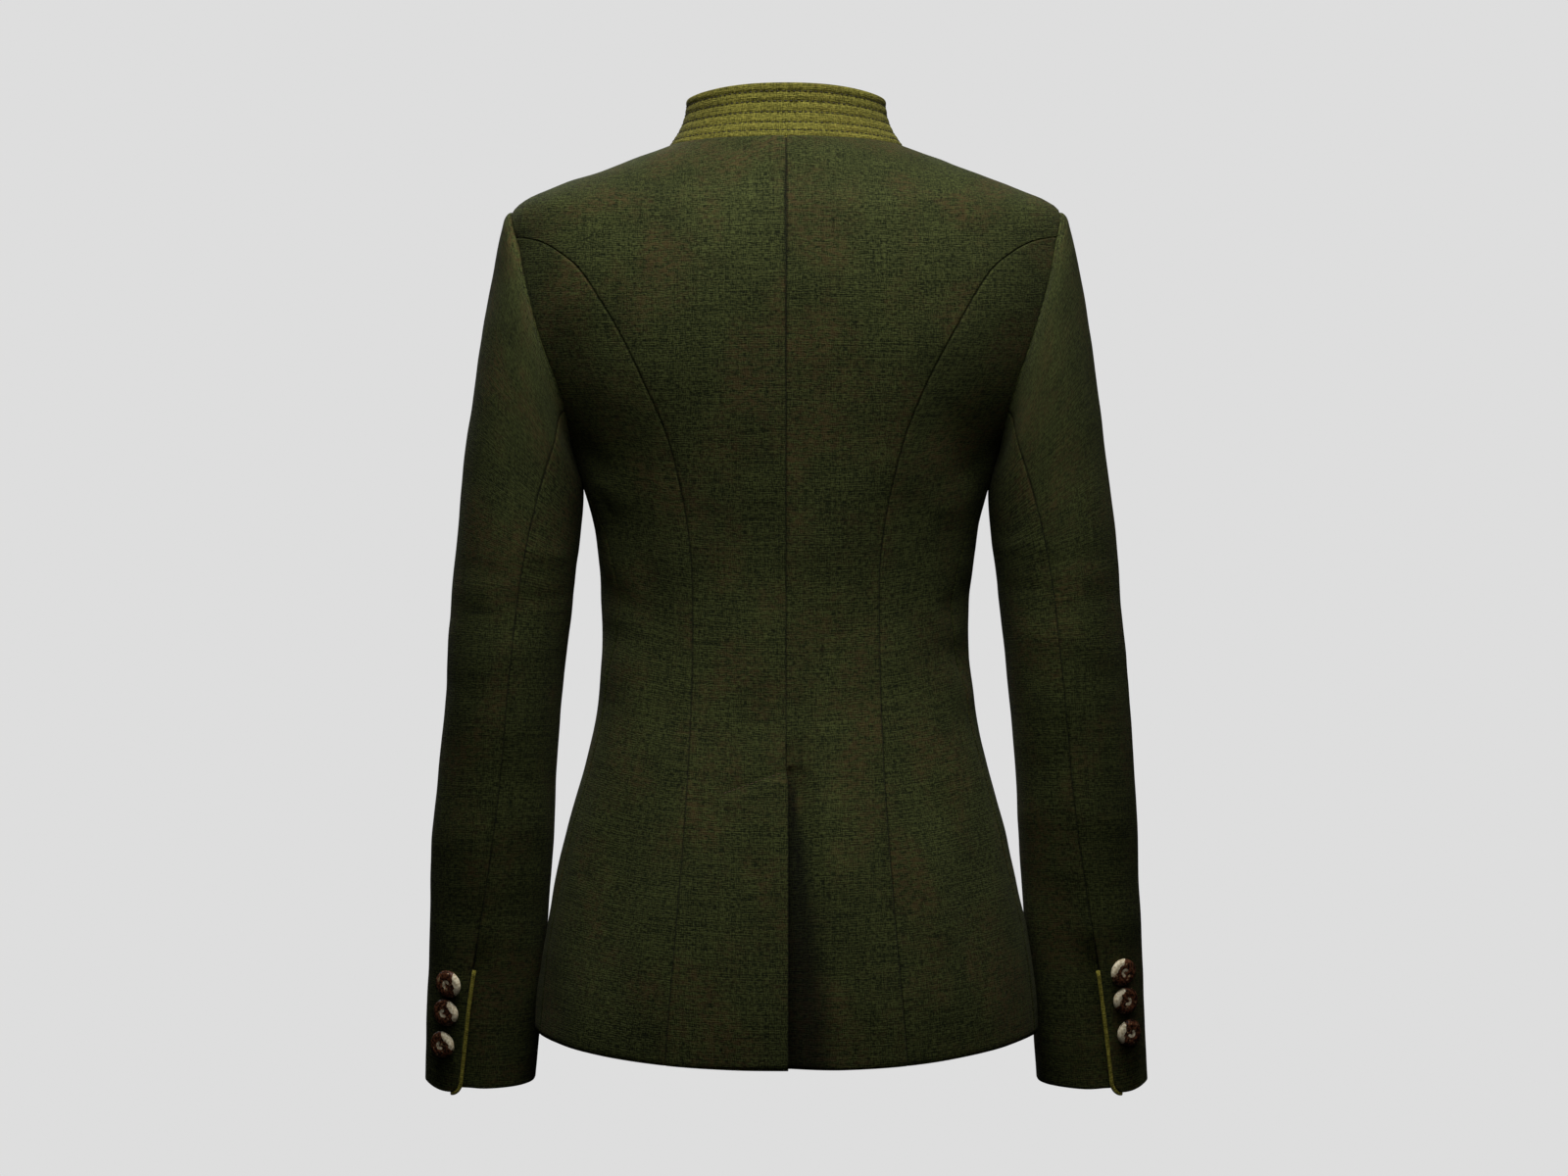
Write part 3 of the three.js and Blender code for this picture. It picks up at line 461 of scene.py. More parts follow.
# Millimetres of cloth across from the first angle and up from the hem, by level and angle.
GRID_REACH, GRID_ROWS = 112, 170  # degrees to either side of the left, steps up to the neck
GRID = torso_point(np.linspace(-GRID_REACH, GRID_REACH, 2 * GRID_REACH + 1)[None, :],
                   np.linspace(0, NECK, GRID_ROWS + 1)[:, None])
ACROSS, UP = lengths(GRID), lengths(GRID.swapaxes(0, 1)).T


def flat_uv(angle, level, grain_angle):
    """Where a place lies on the flat cloth, in metres from the grain line at one angle."""
    u, v = angle + GRID_REACH, level / NECK * GRID_ROWS
    i, j = np.clip(v.astype(int), 0, GRID_ROWS - 1), np.clip(u.astype(int), 0, 2 * GRID_REACH - 1)
    s, t = u - j, v - i
    out = []
    for grid in (ACROSS - ACROSS[:, [grain_angle + GRID_REACH]], UP):
        low = lerp(grid[i, j], grid[i, j + 1], s)
        high = lerp(grid[i + 1, j], grid[i + 1, j + 1], s)
        out.append(lerp(low, high, t))
    return np.stack(out, -1) * MM


def panel(name, edges, shares, grain_angle, mirrored=False, sink=None, seams=(1, 1)):
    """A torso panel between its edges, with shares[k] across the span from edge k to edge k + 1."""
    parts = []
    for k, own in enumerate(shares):
        piece = own if k == len(shares) - 1 else own[:-1]
        parts.append(lerp(edges[k][:, None], edges[k + 1][:, None], piece[None, :, None]))
    places = np.concatenate(parts, axis=1)
    angle, level = places[..., 0], places[..., 1]
    base, normals = torso_point(angle, level), torso_normal(angle, level)
    flip = -1 if mirrored else 1
    out = unevenness(base * (flip, 1, 1)) + creases(base, flip)
    out = out * (1 - smoothstep(level, NECK - 0.8, NECK))
    out = rested(out, base[..., 2], angle, "torso")
    run = lengths(base)
    back_run = run[:, -1:] - run
    for distance, sewn in ((run, seams[0]), (back_run, seams[1])):
        out = out + rolled(distance, 0.95 if sewn else 0.55)
        if sewn:
            pucker = np.sin(base[..., 2] * 0.9 + 2 * np.sin(base[..., 2] * 0.13))
            out = out + 0.1 * pucker * np.exp(-((distance - 3) / 2.5) ** 2)
    out = out + rolled(lengths(base[:, base.shape[1] // 2]), 0.6)[:, None]
    if sink is not None:
        out = out - sink(base)
    # The cloth's colour is darkened by painted shade along its sewn edges.
    to_seam = np.minimum(run if seams[0] else FAR, back_run if seams[1] else FAR)
    # The vent's underlap is darkened by painted shade in a wedge beside the vent's edge.
    cloth_piece(name, base + normals * out[..., None], normals, flat_uv(angle, level, grain_angle),
                GREEN, "green_linen", mirrored, seam=painted_seam_shade(to_seam),
                hollow=vent_shade(base) if sink is vent_sink else 0.0)


# ---- Materials ----

class Shader:
    """A node tree being built, one call for each node."""

    def __init__(self, name):
        self.material = bpy.data.materials.new(name)
        self.material.use_nodes = True
        self.tree = self.material.node_tree
        self.bsdf = self.tree.nodes["Principled BSDF"]

    def put(self, value, socket):
        if isinstance(value, bpy.types.NodeSocket):
            self.tree.links.new(value, socket)
        else:
            socket.default_value = value

    def node(self, kind, inputs=(), **settings):
        made = self.tree.nodes.new(kind)
        for key, value in settings.items():
            setattr(made, key, value)
        for key, value in dict(inputs).items():
            self.put(value, made.inputs[key])
        return made

    def uv(self, scale, turn=0.0):
        coordinates = self.node("ShaderNodeUVMap", uv_map="cloth").outputs[0]
        return self.node("ShaderNodeMapping", {
            0: coordinates, "Scale": scale, "Rotation": (0, 0, turn)}).outputs[0]

    def noise(self, vector, scale=1.0, detail=2.0, rough=0.5, distortion=0.0):
        return self.node("ShaderNodeTexNoise", {
            "Vector": vector, "Scale": scale, "Detail": detail, "Roughness": rough,
            "Distortion": distortion}).outputs[0]

    def attribute(self, name):
        return self.node("ShaderNodeAttribute", attribute_name=name).outputs["Fac"]

    def math(self, operation, a, b):
        return self.node("ShaderNodeMath", {0: a, 1: b}, operation=operation).outputs[0]

    def spread(self, value, low, high, to_low=0.0, to_high=1.0):
        return self.node("ShaderNodeMapRange", {
            "Value": value, "From Min": low, "From Max": high, "To Min": to_low, "To Max": to_high,
        }, interpolation_type="SMOOTHSTEP").outputs[0]

    def mix(self, factor, a, b, blend="MIX"):
        made = self.node(
            "ShaderNodeMix", data_type="RGBA", blend_type=blend, clamp_factor=True)
        for socket, value in ((made.inputs[0], factor), (made.inputs[6], a), (made.inputs[7], b)):
            self.put(value, socket)
        return made.outputs[2]

    def bump(self, height, distance):
        return self.node("ShaderNodeBump", {
            "Height": height, "Distance": distance, "Strength": 1.0}).outputs[0]

    def finish(self, values):
        """The material, with a value or a link on each of these sockets of its shader."""
        for key, value in values.items():
            self.put(value, self.bsdf.inputs[key])
        return self.material


# The weave's threads: how many to a metre across and up the cloth, turn, detail and roughness of
# their noise, and weight in the tone. They are weft, warp, grain, slubs and thick warp threads.
THREADS = [
    (270, 1600, 0, 1, 0.55, 0.32), (1600, 300, 0.02, 1, 0.55, 0.25), (1800, 1800, 0, 1, 0.5, 0.09),
    (28, 820, 0, 2, 0.6, 0.19), (880, 30, 0.02, 1, 0.6, 0.1),
]
ROWS_WEIGHT = 0.03
SEAM_SHADE_TONE, VENT_SHADE_TONE = 0.4, 0.3  # share of the colour left under the painted shade along a seam and in the vent's hollow


def linen(name, dark, light, brown, patch, contrast, weave):
    """Linen of dark and light threads. Patch is how brown it gets, weave its height in metres."""
    s = Shader(name)
    threads = 0.0
    for across, up, turn, detail, rough, weight in THREADS:
        part = s.noise(s.uv((across, up, 1), turn), 1, detail, rough)
        threads = s.math("ADD", threads, s.math("MULTIPLY", part, weight))
    rows = s.node("ShaderNodeTexWave", {
        "Vector": s.uv((1, 1, 1)), "Scale": 205.0, "Distortion": 2.2, "Detail": 1.0,
        "Detail Scale": 0.35}, bands_direction="Y").outputs[1]
    threads = s.math("ADD", threads, s.math("MULTIPLY", rows, ROWS_WEIGHT))
    tone = s.spread(threads, 0.5 - contrast, 0.5 + contrast)
    color = s.mix(tone, (*dark, 1), (*light, 1))
    cloud = s.noise(s.uv((19, 15, 1)), 1, 4, 0.6, 0.3)
    fleck = s.noise(s.uv((170, 330, 1)), 1, 3, 0.7)
    brownish = s.math("MULTIPLY", s.spread(cloud, 0.44, 0.66), s.spread(fleck, 0.42, 0.6))
    color = s.mix(s.math("MULTIPLY", brownish, patch), color, (*brown, 1))
    shade = s.spread(s.noise(s.uv((16, 12, 1)), 1, 4, 0.6), 0.32, 0.68, 0.91, 1.09)
    # Painted shade: the colour is darkened along the seams and in the vent's hollow.
    for mark, least, left in (("seam", 0.1, SEAM_SHADE_TONE), ("hollow", 0.0, VENT_SHADE_TONE)):
        shade = s.math("MULTIPLY", shade, s.spread(s.attribute(mark), least, 1.0, 1.0, left))
    gray = s.node("ShaderNodeCombineColor", {0: shade, 1: shade, 2: shade}).outputs[0]
    return s.finish({
        "Base Color": s.mix(1.0, color, gray, "MULTIPLY"), "Normal": s.bump(threads, weave),
        "Roughness": 0.92, "Sheen Weight": 0.04, "Sheen Roughness": 0.45,
        "Sheen Tint": (0.62, 0.62, 0.42, 1), "Specular IOR Level": 0.14})


GREEN = linen(
    "green_linen", dark=(0.0068, 0.0090, 0.0021), light=(0.0590, 0.0695, 0.0182),
    brown=(0.070, 0.042, 0.015), patch=0.6, contrast=0.08, weave=0.0016)
OLIVE = linen(
    "olive_linen", dark=(0.040, 0.038, 0.0045), light=(0.23, 0.212, 0.036),
    brown=(0.16, 0.11, 0.02), patch=0.25, contrast=0.10, weave=0.002)
PIPING = linen(
    "piping_linen", dark=(0.09, 0.082, 0.009), light=(0.41, 0.36, 0.06),
    brown=(0.2, 0.14, 0.03), patch=0.2, contrast=0.13, weave=0.002)


def thread(name, color):
    s = Shader(name)
    grain = s.node("ShaderNodeTexNoise", {"Scale": 2500.0, "Detail": 2.0}).outputs[0]
    dark = tuple(c * 0.7 for c in color)
    return s.finish({"Base Color": s.mix(grain, (*dark, 1), (*color, 1)), "Roughness": 0.8})


BROWN_THREAD = thread("brown_thread", (0.10, 0.055, 0.026))
OLIVE_THREAD = thread("olive_thread", (0.030, 0.025, 0.006))


def horn():
    """Stag horn: brown bark with pale flecks, and cream where the bark ends."""
    s = Shader("stag_horn")
    place = s.node("ShaderNodeTexCoord").outputs["Object"]
    fine, broad = s.noise(place, 620.0, 3.0), s.noise(place, 330.0, 4.0)
    brown = s.mix(s.spread(fine, 0.38, 0.64), (0.012, 0.0042, 0.002, 1), (0.17, 0.062, 0.028, 1))
    brown = s.mix(s.spread(broad, 0.6, 0.66), brown, (0.42, 0.28, 0.15, 1))
    cream = s.mix(s.spread(fine, 0.36, 0.7), (0.80, 0.72, 0.52, 1), (0.46, 0.36, 0.21, 1))
    rough = s.math("ADD", s.math("MULTIPLY", broad, 1.1), s.math("MULTIPLY", fine, 0.6))
    edge = s.spread(s.math("ADD", s.attribute("bark"), rough), 1.15, 1.3)
    return s.finish({
        "Base Color": s.mix(edge, cream, brown),
        "Normal": s.bump(s.math("MULTIPLY", fine, edge), 0.0008),
        "Roughness": 0.4, "Specular IOR Level": 0.3})


HORN = horn()


# ---- The torso ----

def heights_edge(face, heights, past):
    z = refine(heights, FINE)
    level = level_at(z, lambda at: face * 90.0 + 0 * at)
    level[0], level[-1] = HEM, NECK
    return np.stack([angle_at_x(-past(z), level, face), level], -1)


def side_edge(turns):
    return np.concatenate([SEAM_OF_SIDE, armhole_places(refine(turns, FINE))[1:]])


def outer_edge(seam, seam_turn, top_turns):
    top = armhole_places(refine([seam_turn, *top_turns, 0], FINE))
    return np.concatenate([seam, top[1:-1], SHOULDER_SEAM])


def vent_sink(p):
    """How far the underlap's cloth lies in, from the vent's top down."""
    opened = 1 - smoothstep(p[..., 2], VENT["top"], VENT["fade_from"])
    down = np.clip((VENT["top"] - p[..., 2]) / VENT_HOLLOW["tall"], 0, 1)
    rise = (p[..., 0] - lerp(*VENT_HOLLOW["from"], down)) / lerp(*VENT_HOLLOW["wide"], down)
    deep = lerp(*VENT_HOLLOW["deep"], down**0.6)
    return deep * opened * (1 - np.clip(rise, 0, 1)) ** 1.25


def vent_shade(p):
    """How strongly painted shade darkens the underlap's cloth beside the vent: a wedge that widens
    to the hem.
    """
    below = VENT["top"] - p[..., 2]
    wide = lerp(*VENT_HOLLOW["shade"], np.clip(below / VENT_HOLLOW["tall"], 0, 1) ** 0.75)
    return (1 - smoothstep(p[..., 0] / wide, 0.3, 1.0)) * smoothstep(below, 0, 12)


def front_sink(p):
    return LAPPED * (1 - smoothstep(p[..., 0], *FRONT_RISE))


def vent_open(z):
    return np.clip((VENT["top"] - z) / (VENT["top"] - VENT["slant_to"]), 0, 1)


back_edge = outer_edge(SEAM_OF_BACK, BACK_SEAM_TURN, BACK_TOP_TURNS)
front_edge = outer_edge(SEAM_OF_FRONT, FRONT_SEAM_TURN, FRONT_TOP_TURNS)
vent_over = heights_edge(1, BACK_HEIGHTS, lambda z: VENT["overlap"] * vent_open(z))
vent_under = heights_edge(1, BACK_HEIGHTS, lambda z: VENT["underlap"] * vent_open(z))
opening, centre, overlapped = (
    heights_edge(-1, FRONT_HEIGHTS, lambda z, past=past: past + 0 * z)
    for past in (FRONT_OVERLAP, 0, -FRONT_OVERLAP))

edge_shares, lap_shares = np.array([0, 0.05, 0.1, 0.2, 0.35, 0.6, 1]), np.linspace(0, 1, 5)
panel("back_left", [back_edge, vent_over], [column_shares(34)], 90)
panel("back_right", [back_edge, vent_under], [column_shares(44)], 90, True, vent_sink)
for side, mirrored in (("left", False), ("right", True)):
    panel(f"front_{side}", [opening, centre, overlapped, front_edge],
          [edge_shares, lap_shares, column_shares(34)], -90, mirrored,
          None if mirrored else front_sink, seams=(0, 1))
    panel(f"side_back_{side}", [side_edge(BACK_TURNS)[:-1], SEAM_OF_BACK[:-1]],
          [column_shares(30)], 36, mirrored)
    panel(f"side_front_{side}", [SEAM_OF_FRONT[:-1], side_edge(FRONT_TURNS)[:-1]],
          [column_shares(30)], -36, mirrored)


# ---- Sleeves ----

def signed(turn):
    return np.where(turn > 180, turn - 360, turn)


ARM_TURNS = np.linspace(-180, 180, 721)
ARM_POINTS = torso_point(*np.moveaxis(armhole_places(ARM_TURNS), -1, 0))


def armhole_point(turn):
    return np.stack([np.interp(signed(turn), ARM_TURNS, ARM_POINTS[:, k]) for k in range(3)], -1)


def plain_sleeve(turn, row):
    c, s = np.cos(np.radians(turn)), np.sin(np.radians(turn))
    outer_x, outer_z, inner_x, inner_z, mid_y, half = (
        read(SLEEVE, column, row)
        for column in ("outerX", "outerZ", "innerX", "innerZ", "midY", "halfDepth"))
    return np.stack([(outer_x + inner_x) / 2 + (outer_x - inner_x) / 2 * c, mid_y + half * s,
                     (outer_z + inner_z) / 2 + (outer_z - inner_z) / 2 * c], -1)


def sleeve_point(turn, row):
    turn, row = np.broadcast_arrays(np.asarray(turn, float), np.asarray(row, float))
    p = plain_sleeve(turn, row)
    easing = (1 - smoothstep(row, 0, 3.2))[..., None]
    p = p + easing * (armhole_point(turn) - plain_sleeve(turn, 0 * row))
    p[..., 2] -= 4 * smoothstep(row, CUFF - 1.5, CUFF) * np.maximum(0, np.sin(np.radians(turn)))
    return p


def sleeve_normal(turn, row):
    return -normal_of(sleeve_point, turn, row, 1, 0.05, CUFF)


def row_at(z):
    return solve(lambda row: -read(SLEEVE, "outerZ", row), -np.asarray(z, float), 0, CUFF)


def turn_for(length, turn, row):
    """The degrees round a sleeve that a length of cloth takes."""
    degree = sleeve_point(turn + 0.5, row) - sleeve_point(turn - 0.5, row)
    return length / np.linalg.norm(degree, axis=-1)


def corner_cut(distance, radius):
    distance = np.clip(distance, 0, radius)
    return radius - np.sqrt(radius**2 - (radius - distance) ** 2)


VENT_ROW, OPEN_ROW = float(row_at(CUFF_VENT["top"])), float(row_at(CUFF_VENT["top"] - 8))
corner_shares = np.array([0.85, 0.7, 0.55, 0.42, 0.3, 0.2, 0.12, 0.06, 0.02, 0])
vent_heights = np.concatenate([
    np.linspace(CUFF_VENT["top"], CUFF_HEM + CUFF_VENT["corner"], 26),
    CUFF_HEM + CUFF_VENT["corner"] * corner_shares,
])
ROWS = np.concatenate([
    np.linspace(0, 0.5, 12)[:-1], np.linspace(0.5, 4, 34)[:-1],
    np.linspace(4, VENT_ROW, 120)[:-1], row_at(vent_heights),
])
BACK_OF_SLEEVE, FRONT_OF_SLEEVE = read(SLEEVE, "backSeam", ROWS), read(SLEEVE, "frontSeam", ROWS)

# Sleeve creases: turn, height, half length along the turn in degrees, slope, width mm, height mm.
SLEEVE_CREASES = [
    (70, -285, 60, 0.16, 9, -0.75), (60, -318, 55, -0.14, 10, -0.75),
    (95, -345, 60, 0.2, 11, 0.8), (30, -370, 60, -0.18, 10, -0.65),
    (120, -300, 45, 0.3, 8, -0.75), (100, -395, 60, 0.12, 12, 0.65),
    (110, -430, 60, -0.16, 11, -0.6), (60, -470, 70, 0.12, 13, 0.6),
    (130, -250, 40, 0.5, 9, 0.7), (120, -520, 60, 0.14, 12, -0.65),
    (40, -540, 60, -0.1, 12, 0.5), (150, -470, 50, -0.2, 11, 0.65),
    (-60, -330, 70, 0.2, 9, -2.2), (-80, -300, 70, -0.2, 9, -2.0),
    (-70, -365, 70, 0.1, 10, 1.8), (-100, -240, 50, 0.3, 10, -1.4),
]
RIGHT_CREASES = 6, 11  # degrees and mm that the right sleeve's creases lie further on
SLEEVE_WEAVE = 3.1, 2.2  # moves the sleeves' weave on from the torso's, m


def sleeve_relief(turn, row, points, flip):
    z = read(SLEEVE, "outerZ", row)
    out = unevenness(points * (flip, 1, 1)) * 0.7 * smoothstep(row, 0.3, 2.5)
    near = signed(np.mod(turn, 360))
    for at, height, reach, slope, wide, high in SLEEVE_CREASES:
        if flip < 0:
            at, height = at + RIGHT_CREASES[0], height + RIGHT_CREASES[1]
        away = np.abs(near - at)
        away = np.minimum(away, 360 - away)
        sign = np.sign(np.sin(np.radians(near - at)))
        line = height + slope * sign * away * 0.6
        out += high * np.exp(-((z - line) / wide) ** 2) * np.exp(-((away / reach) ** 2) * 1.6)
    return out


def sleeve_cloth(name, start, end, count, mirrored, sink=None, dip=None, turned=0.0):
    """One of a sleeve's two pieces, between two turns. Turned moves its weave on."""
    shares = column_shares(count)
    turn = lerp(start[:, None], end[:, None], shares[None, :])
    row = np.repeat(ROWS[:, None], len(shares), axis=1)
    base, normals = sleeve_point(turn, row), sleeve_normal(turn, row)
    across, back_across = edge_distance(base, shares)
    down = lengths(base[:, len(shares) // 2])
    out = sleeve_relief(turn, row, base, -1 if mirrored else 1)
    out = rested(out, read(SLEEVE, "innerZ", row), turn - 180, "sleeve")
    out = out + rolled(across) + rolled(back_across)
    out = out + rolled(down, 0.7, 1.6)[:, None] + rolled(down[-1] - down, 0.55)[:, None]
    # The sleeve head swells gently past its seam.
    swell = np.exp(-((down - 7) / 5) ** 2)[:, None]
    out = out + 0.9 * swell * np.cos(np.radians(turn) / 2) ** 2
    if sink is not None:
        out = out - sink(turn, row)
    outer = base + normals * out[..., None]
    # The head's edge is tucked in under the torso's edge at the armhole.
    outer[..., 0] -= 1.8 * (1 - smoothstep(down, 0, 3))[:, None]
    if dip is not None:
        outer[..., 2] -= dip(shares)[None, :] * smoothstep(ROWS, CUFF - 1, CUFF)[:, None]
    uv = np.stack([lengths(base), np.repeat(-down[:, None], len(shares), axis=1)], -1) * MM
    uv[..., 0] -= uv[..., 0].mean(axis=1, keepdims=True)
    uv = uv + (SLEEVE_WEAVE[0] + turned, SLEEVE_WEAVE[1])
    # The sleeve's colour is darkened by painted shade along its seams and where its head is sewn
    # in.
    to_seam = np.minimum(np.minimum(across, back_across), down[:, None] - 0.3)
    nets = [net[::-1] for net in (outer, normals, uv)]
    cloth_piece(name, *nets, GREEN, "green_linen", mirrored, seam=painted_seam_shade(to_seam)[::-1])
    return outer, normals


# A button's outline from its foot over the rim to the middle: shares of its radius and height.
BUTTON_OUTLINE = [
    (0.86, 0), (0.95, 0.16), (1, 0.42), (0.975, 0.6), (0.92, 0.76), (0.84, 0.88), (0.76, 0.94),
    (0.68, 0.97), (0.6, 0.98), (0.52, 0.98), (0.44, 0.97), (0.36, 0.96), (0.29, 0.95),
    (0.22, 0.94), (0.15, 0.93), (0.07, 0.92),
]
BUTTON_FACE = 7  # the ring, counted from the shank's foot, where the rough face starts
SHANK_RADIUS, SHANK_FOOT = 3, 0.3  # mm, the foot's height over the cloth
RAGGED = [(0.05, 5), (0.035, 9), (0.02, 17)]  # the crescent's ragged edge: depth, waves round


def button_mesh(name, seat, out, size, seed, node, tilt):
    """A slice of stag horn: brown bark with a cream crescent where the slice runs out of it."""
    r = np.random.default_rng(seed)
    radius, thick, lift = size["across"] / 2, size["thick"], size["lift"]
    profile = [(SHANK_RADIUS / radius, (SHANK_FOOT - lift) / thick), (SHANK_RADIUS / radius, 0)]
    profile += BUTTON_OUTLINE
    sides = 56
    a = np.arange(sides) * 2 * math.pi / sides
    wobble = 1 + 0.05 * np.cos(2 * a + r.uniform(-0.5, 0.5))
    wobble = wobble + 0.02 * np.sin(3 * a + r.uniform(0, 6))
    seat, axis = np.asarray(seat), unit(np.asarray(out, float))
    right = unit(np.cross((0, 0, 1), axis))
    up = np.cross(axis, right)
    rings, bark = [], []
    phases = r.uniform(0, 2 * math.pi, 6)
    ragged = sum(deep * np.sin(waves * a + phase)
                 for (deep, waves), phase in zip(RAGGED, phases))
    for k, (share, height) in enumerate(profile):
        px, py = np.cos(a) * share * radius * wobble, np.sin(a) * share * radius * wobble
        tall = height * thick + lift
        if k >= BUTTON_FACE:
            tall = tall + 0.16 * np.sin(px * 1.7 + phases[4]) * np.sin(py * 1.5 + phases[5])
        flat = seat[None, :] + px[:, None] * right + py[:, None] * up
        rings.append(flat + np.outer(tall * np.ones(sides), axis))
        # Bark over all but a cream crescent on one side and a hooked cream mark in the middle.
        crescent = smoothstep(share * np.cos(a - tilt) + ragged, 0.5, 0.66)
        hook = np.exp(-((share - 0.2) / 0.14) ** 2) * smoothstep(np.cos(a - phases[3]), -0.8, -0.3)
        cream = np.maximum(crescent, smoothstep(hook + ragged, 0.35, 0.6))
        bark.append(1 - np.clip(np.maximum(cream, 1 - smoothstep(height, 0.1, 0.5)), 0, 1))
    foot = seat + axis * SHANK_FOOT
    top = seat + axis * (profile[-1][1] * thick + lift)
    points = np.concatenate([*rings, foot[None], top[None]])
    values = np.concatenate([*bark, [0.0], [bark[-1].mean()]])
    n = len(profile)
    faces = []
    for k in range(n - 1):
        for i in range(sides):
            j = (i + 1) % sides
            faces.append((k * sides + i, k * sides + j, (k + 1) * sides + j, (k + 1) * sides + i))
    faces += [(n * sides, (i + 1) % sides, i) for i in range(sides)]
    faces += [(n * sides + 1, (n - 1) * sides + i, (n - 1) * sides + (i + 1) % sides)
              for i in range(sides)]
    mesh = bpy.data.meshes.new(name)
    mesh.from_pydata([tuple(p) for p in points * MM], [], faces)
    mesh.polygons.foreach_set("use_smooth", np.ones(len(mesh.polygons), bool))
    marks = mesh.attributes.new("bark", "FLOAT", "POINT")
    marks.data.foreach_set("value", values.astype(np.float32))
    mesh.materials.append(HORN)
    obj = bpy.data.objects.new(name, mesh)
    bpy.context.scene.collection.objects.link(obj)
    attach(obj, "root")
    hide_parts(node)


# A stitch from end to end: share of its length, share of its thickness, lift.
STITCH = [(-0.5, 0.25, -0.35), (-0.3, 1, 0.1), (0, 1.1, 0.25), (0.3, 1, 0.1), (0.5, 0.25, -0.35)]
COLLAR_STITCH = {"length": 2.1, "pitch": 3.7, "thick": 0.4}
VENT_STITCH = {"length": 2.2, "pitch": 3.1, "thick": 0.24}


def stitches(name, line, outs, material, slot, length, pitch, thick):
    """A row of short raised threads along a line of points."""
    run = lengths(line)
    starts = np.arange(pitch / 2, run[-1] - pitch / 2, pitch)
    points, quads = [], []
    ring = np.array([(math.cos(t), math.sin(t)) for t in np.linspace(0, 2 * math.pi, 7)[:-1]])
    for start in starts:
        a, b, c = (np.array([np.interp(start + d, run, line[:, k]) for k in range(3)])
                   for d in (-length / 2, 0, length / 2))
        out = unit(np.array([np.interp(start, run, outs[:, k]) for k in range(3)]))
        along = unit(c - a)
        side = np.cross(out, along)
        first = len(points)
        for at, fat, high in STITCH:
            middle = b + along * at * length + out * high * thick
            points += [middle + thick * fat * (x * side + y * out) for x, y in ring]
        for k in range(len(STITCH) - 1):
            for i in range(6):
                p, q = first + k * 6 + i, first + k * 6 + (i + 1) % 6
                quads.append((p, q, q + 6, p + 6))
        last = first + 6 * (len(STITCH) - 1)
        quads += [(first, first + 5, first + 4, first + 3),
                  (first + 3, first + 2, first + 1, first),
                  (last, last + 1, last + 2, last + 3), (last + 3, last + 4, last + 5, last)]
    obj = linked(name, np.array(points), np.array(quads))
    obj.data.materials.append(material)
    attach(obj, "root")


cut = corner_cut(read(SLEEVE, "outerZ", ROWS) - CUFF_HEM, CUFF_VENT["corner"])
flap = BACK_OF_SLEEVE - turn_for(cut, BACK_OF_SLEEVE, ROWS)
opened = smoothstep(ROWS, VENT_ROW, OPEN_ROW)
underlap = BACK_OF_SLEEVE - opened * turn_for(CUFF_VENT["underlap"], BACK_OF_SLEEVE, ROWS)


def flap_dip(shares):
    return CUFF_VENT["dip"] * smoothstep(shares, 0.72, 0.97)


def under_sink(turn, row):
    """How far the cuff vent's underlap lies below the flap."""
    lower = smoothstep(row, VENT_ROW - 0.5, VENT_ROW)
    seam = read(SLEEVE, "backSeam", row)
    clear = turn_for(5, turn, row)
    return (WALL + 1.1) * lower * (1 - smoothstep(turn, seam + clear, seam + 4 * clear))


# The piping's fold in section: how far past the flap's edge and how far out from it, mm.
fold = np.array([
    (-0.4, 0.2), (0.3, 0.55), (1.0, 0.72), (1.7, 0.6), (2.2, 0.25), (2.4, -0.3), (2.2, -0.85),
    (1.6, -1.2), (0.8, -1.3), (0, -1.3), (-0.6, -1.3),
])
facing = unit(np.stack([-np.gradient(fold[:, 1]), np.gradient(fold[:, 0])], -1))
BUTTON_DROP = 4  # the left cuff's buttons sit this much lower, the right cuff's as much higher, mm

for side, mirrored in (("left", False), ("right", True)):
    flip = -1 if mirrored else 1
    outer, normals = sleeve_cloth(
        f"upper_sleeve_{side}", FRONT_OF_SLEEVE, flap, 76, mirrored, dip=flap_dip)
    sleeve_cloth(f"under_sleeve_{side}", underlap, FRONT_OF_SLEEVE + 360, 34, mirrored, under_sink,
                 turned=0.7)

    # The piping: a folded strip of the collar's linen along the flap's edge and round its corner.
    first = int(np.searchsorted(ROWS, VENT_ROW - 1e-6))
    edge, out = outer[first:, -1], normals[first:, -1]
    along = unit(np.gradient(edge, axis=0))
    away = -unit(np.cross(along, out))
    strip, back = (
        edge[:, None] * k + away[:, None] * line[None, :, :1] + out[:, None] * line[None, :, 1:]
        for k, line in ((1, fold), (0, facing)))
    run = lengths(edge)
    uv = np.stack(np.broadcast_arrays(lengths(fold)[None, :] * MM + 5, -run[:, None] * MM), -1)
    cloth_piece(f"cuff_piping_{side}", strip[::-1], back[::-1], uv[::-1], PIPING, "olive_linen",
                mirrored, thick=0.35, least_width=0.01)

    for i, (turn, height) in enumerate(CUFF_BUTTON_PLACES):
        row = float(row_at(height - flip * BUTTON_DROP))
        seat, axis = (at(turn, row) * (flip, 1, 1) for at in (sleeve_point, sleeve_normal))
        tilt = (math.pi - 0.35 if mirrored else 0.35) + 0.3 * (i - 1)
        button_mesh(f"horn_cuff_{side}_{i + 1}", seat, axis, CUFF_BUTTON,
                    10 * i + (3 if mirrored else 4), f"cuff_button_{side}_{i + 1}", tilt)

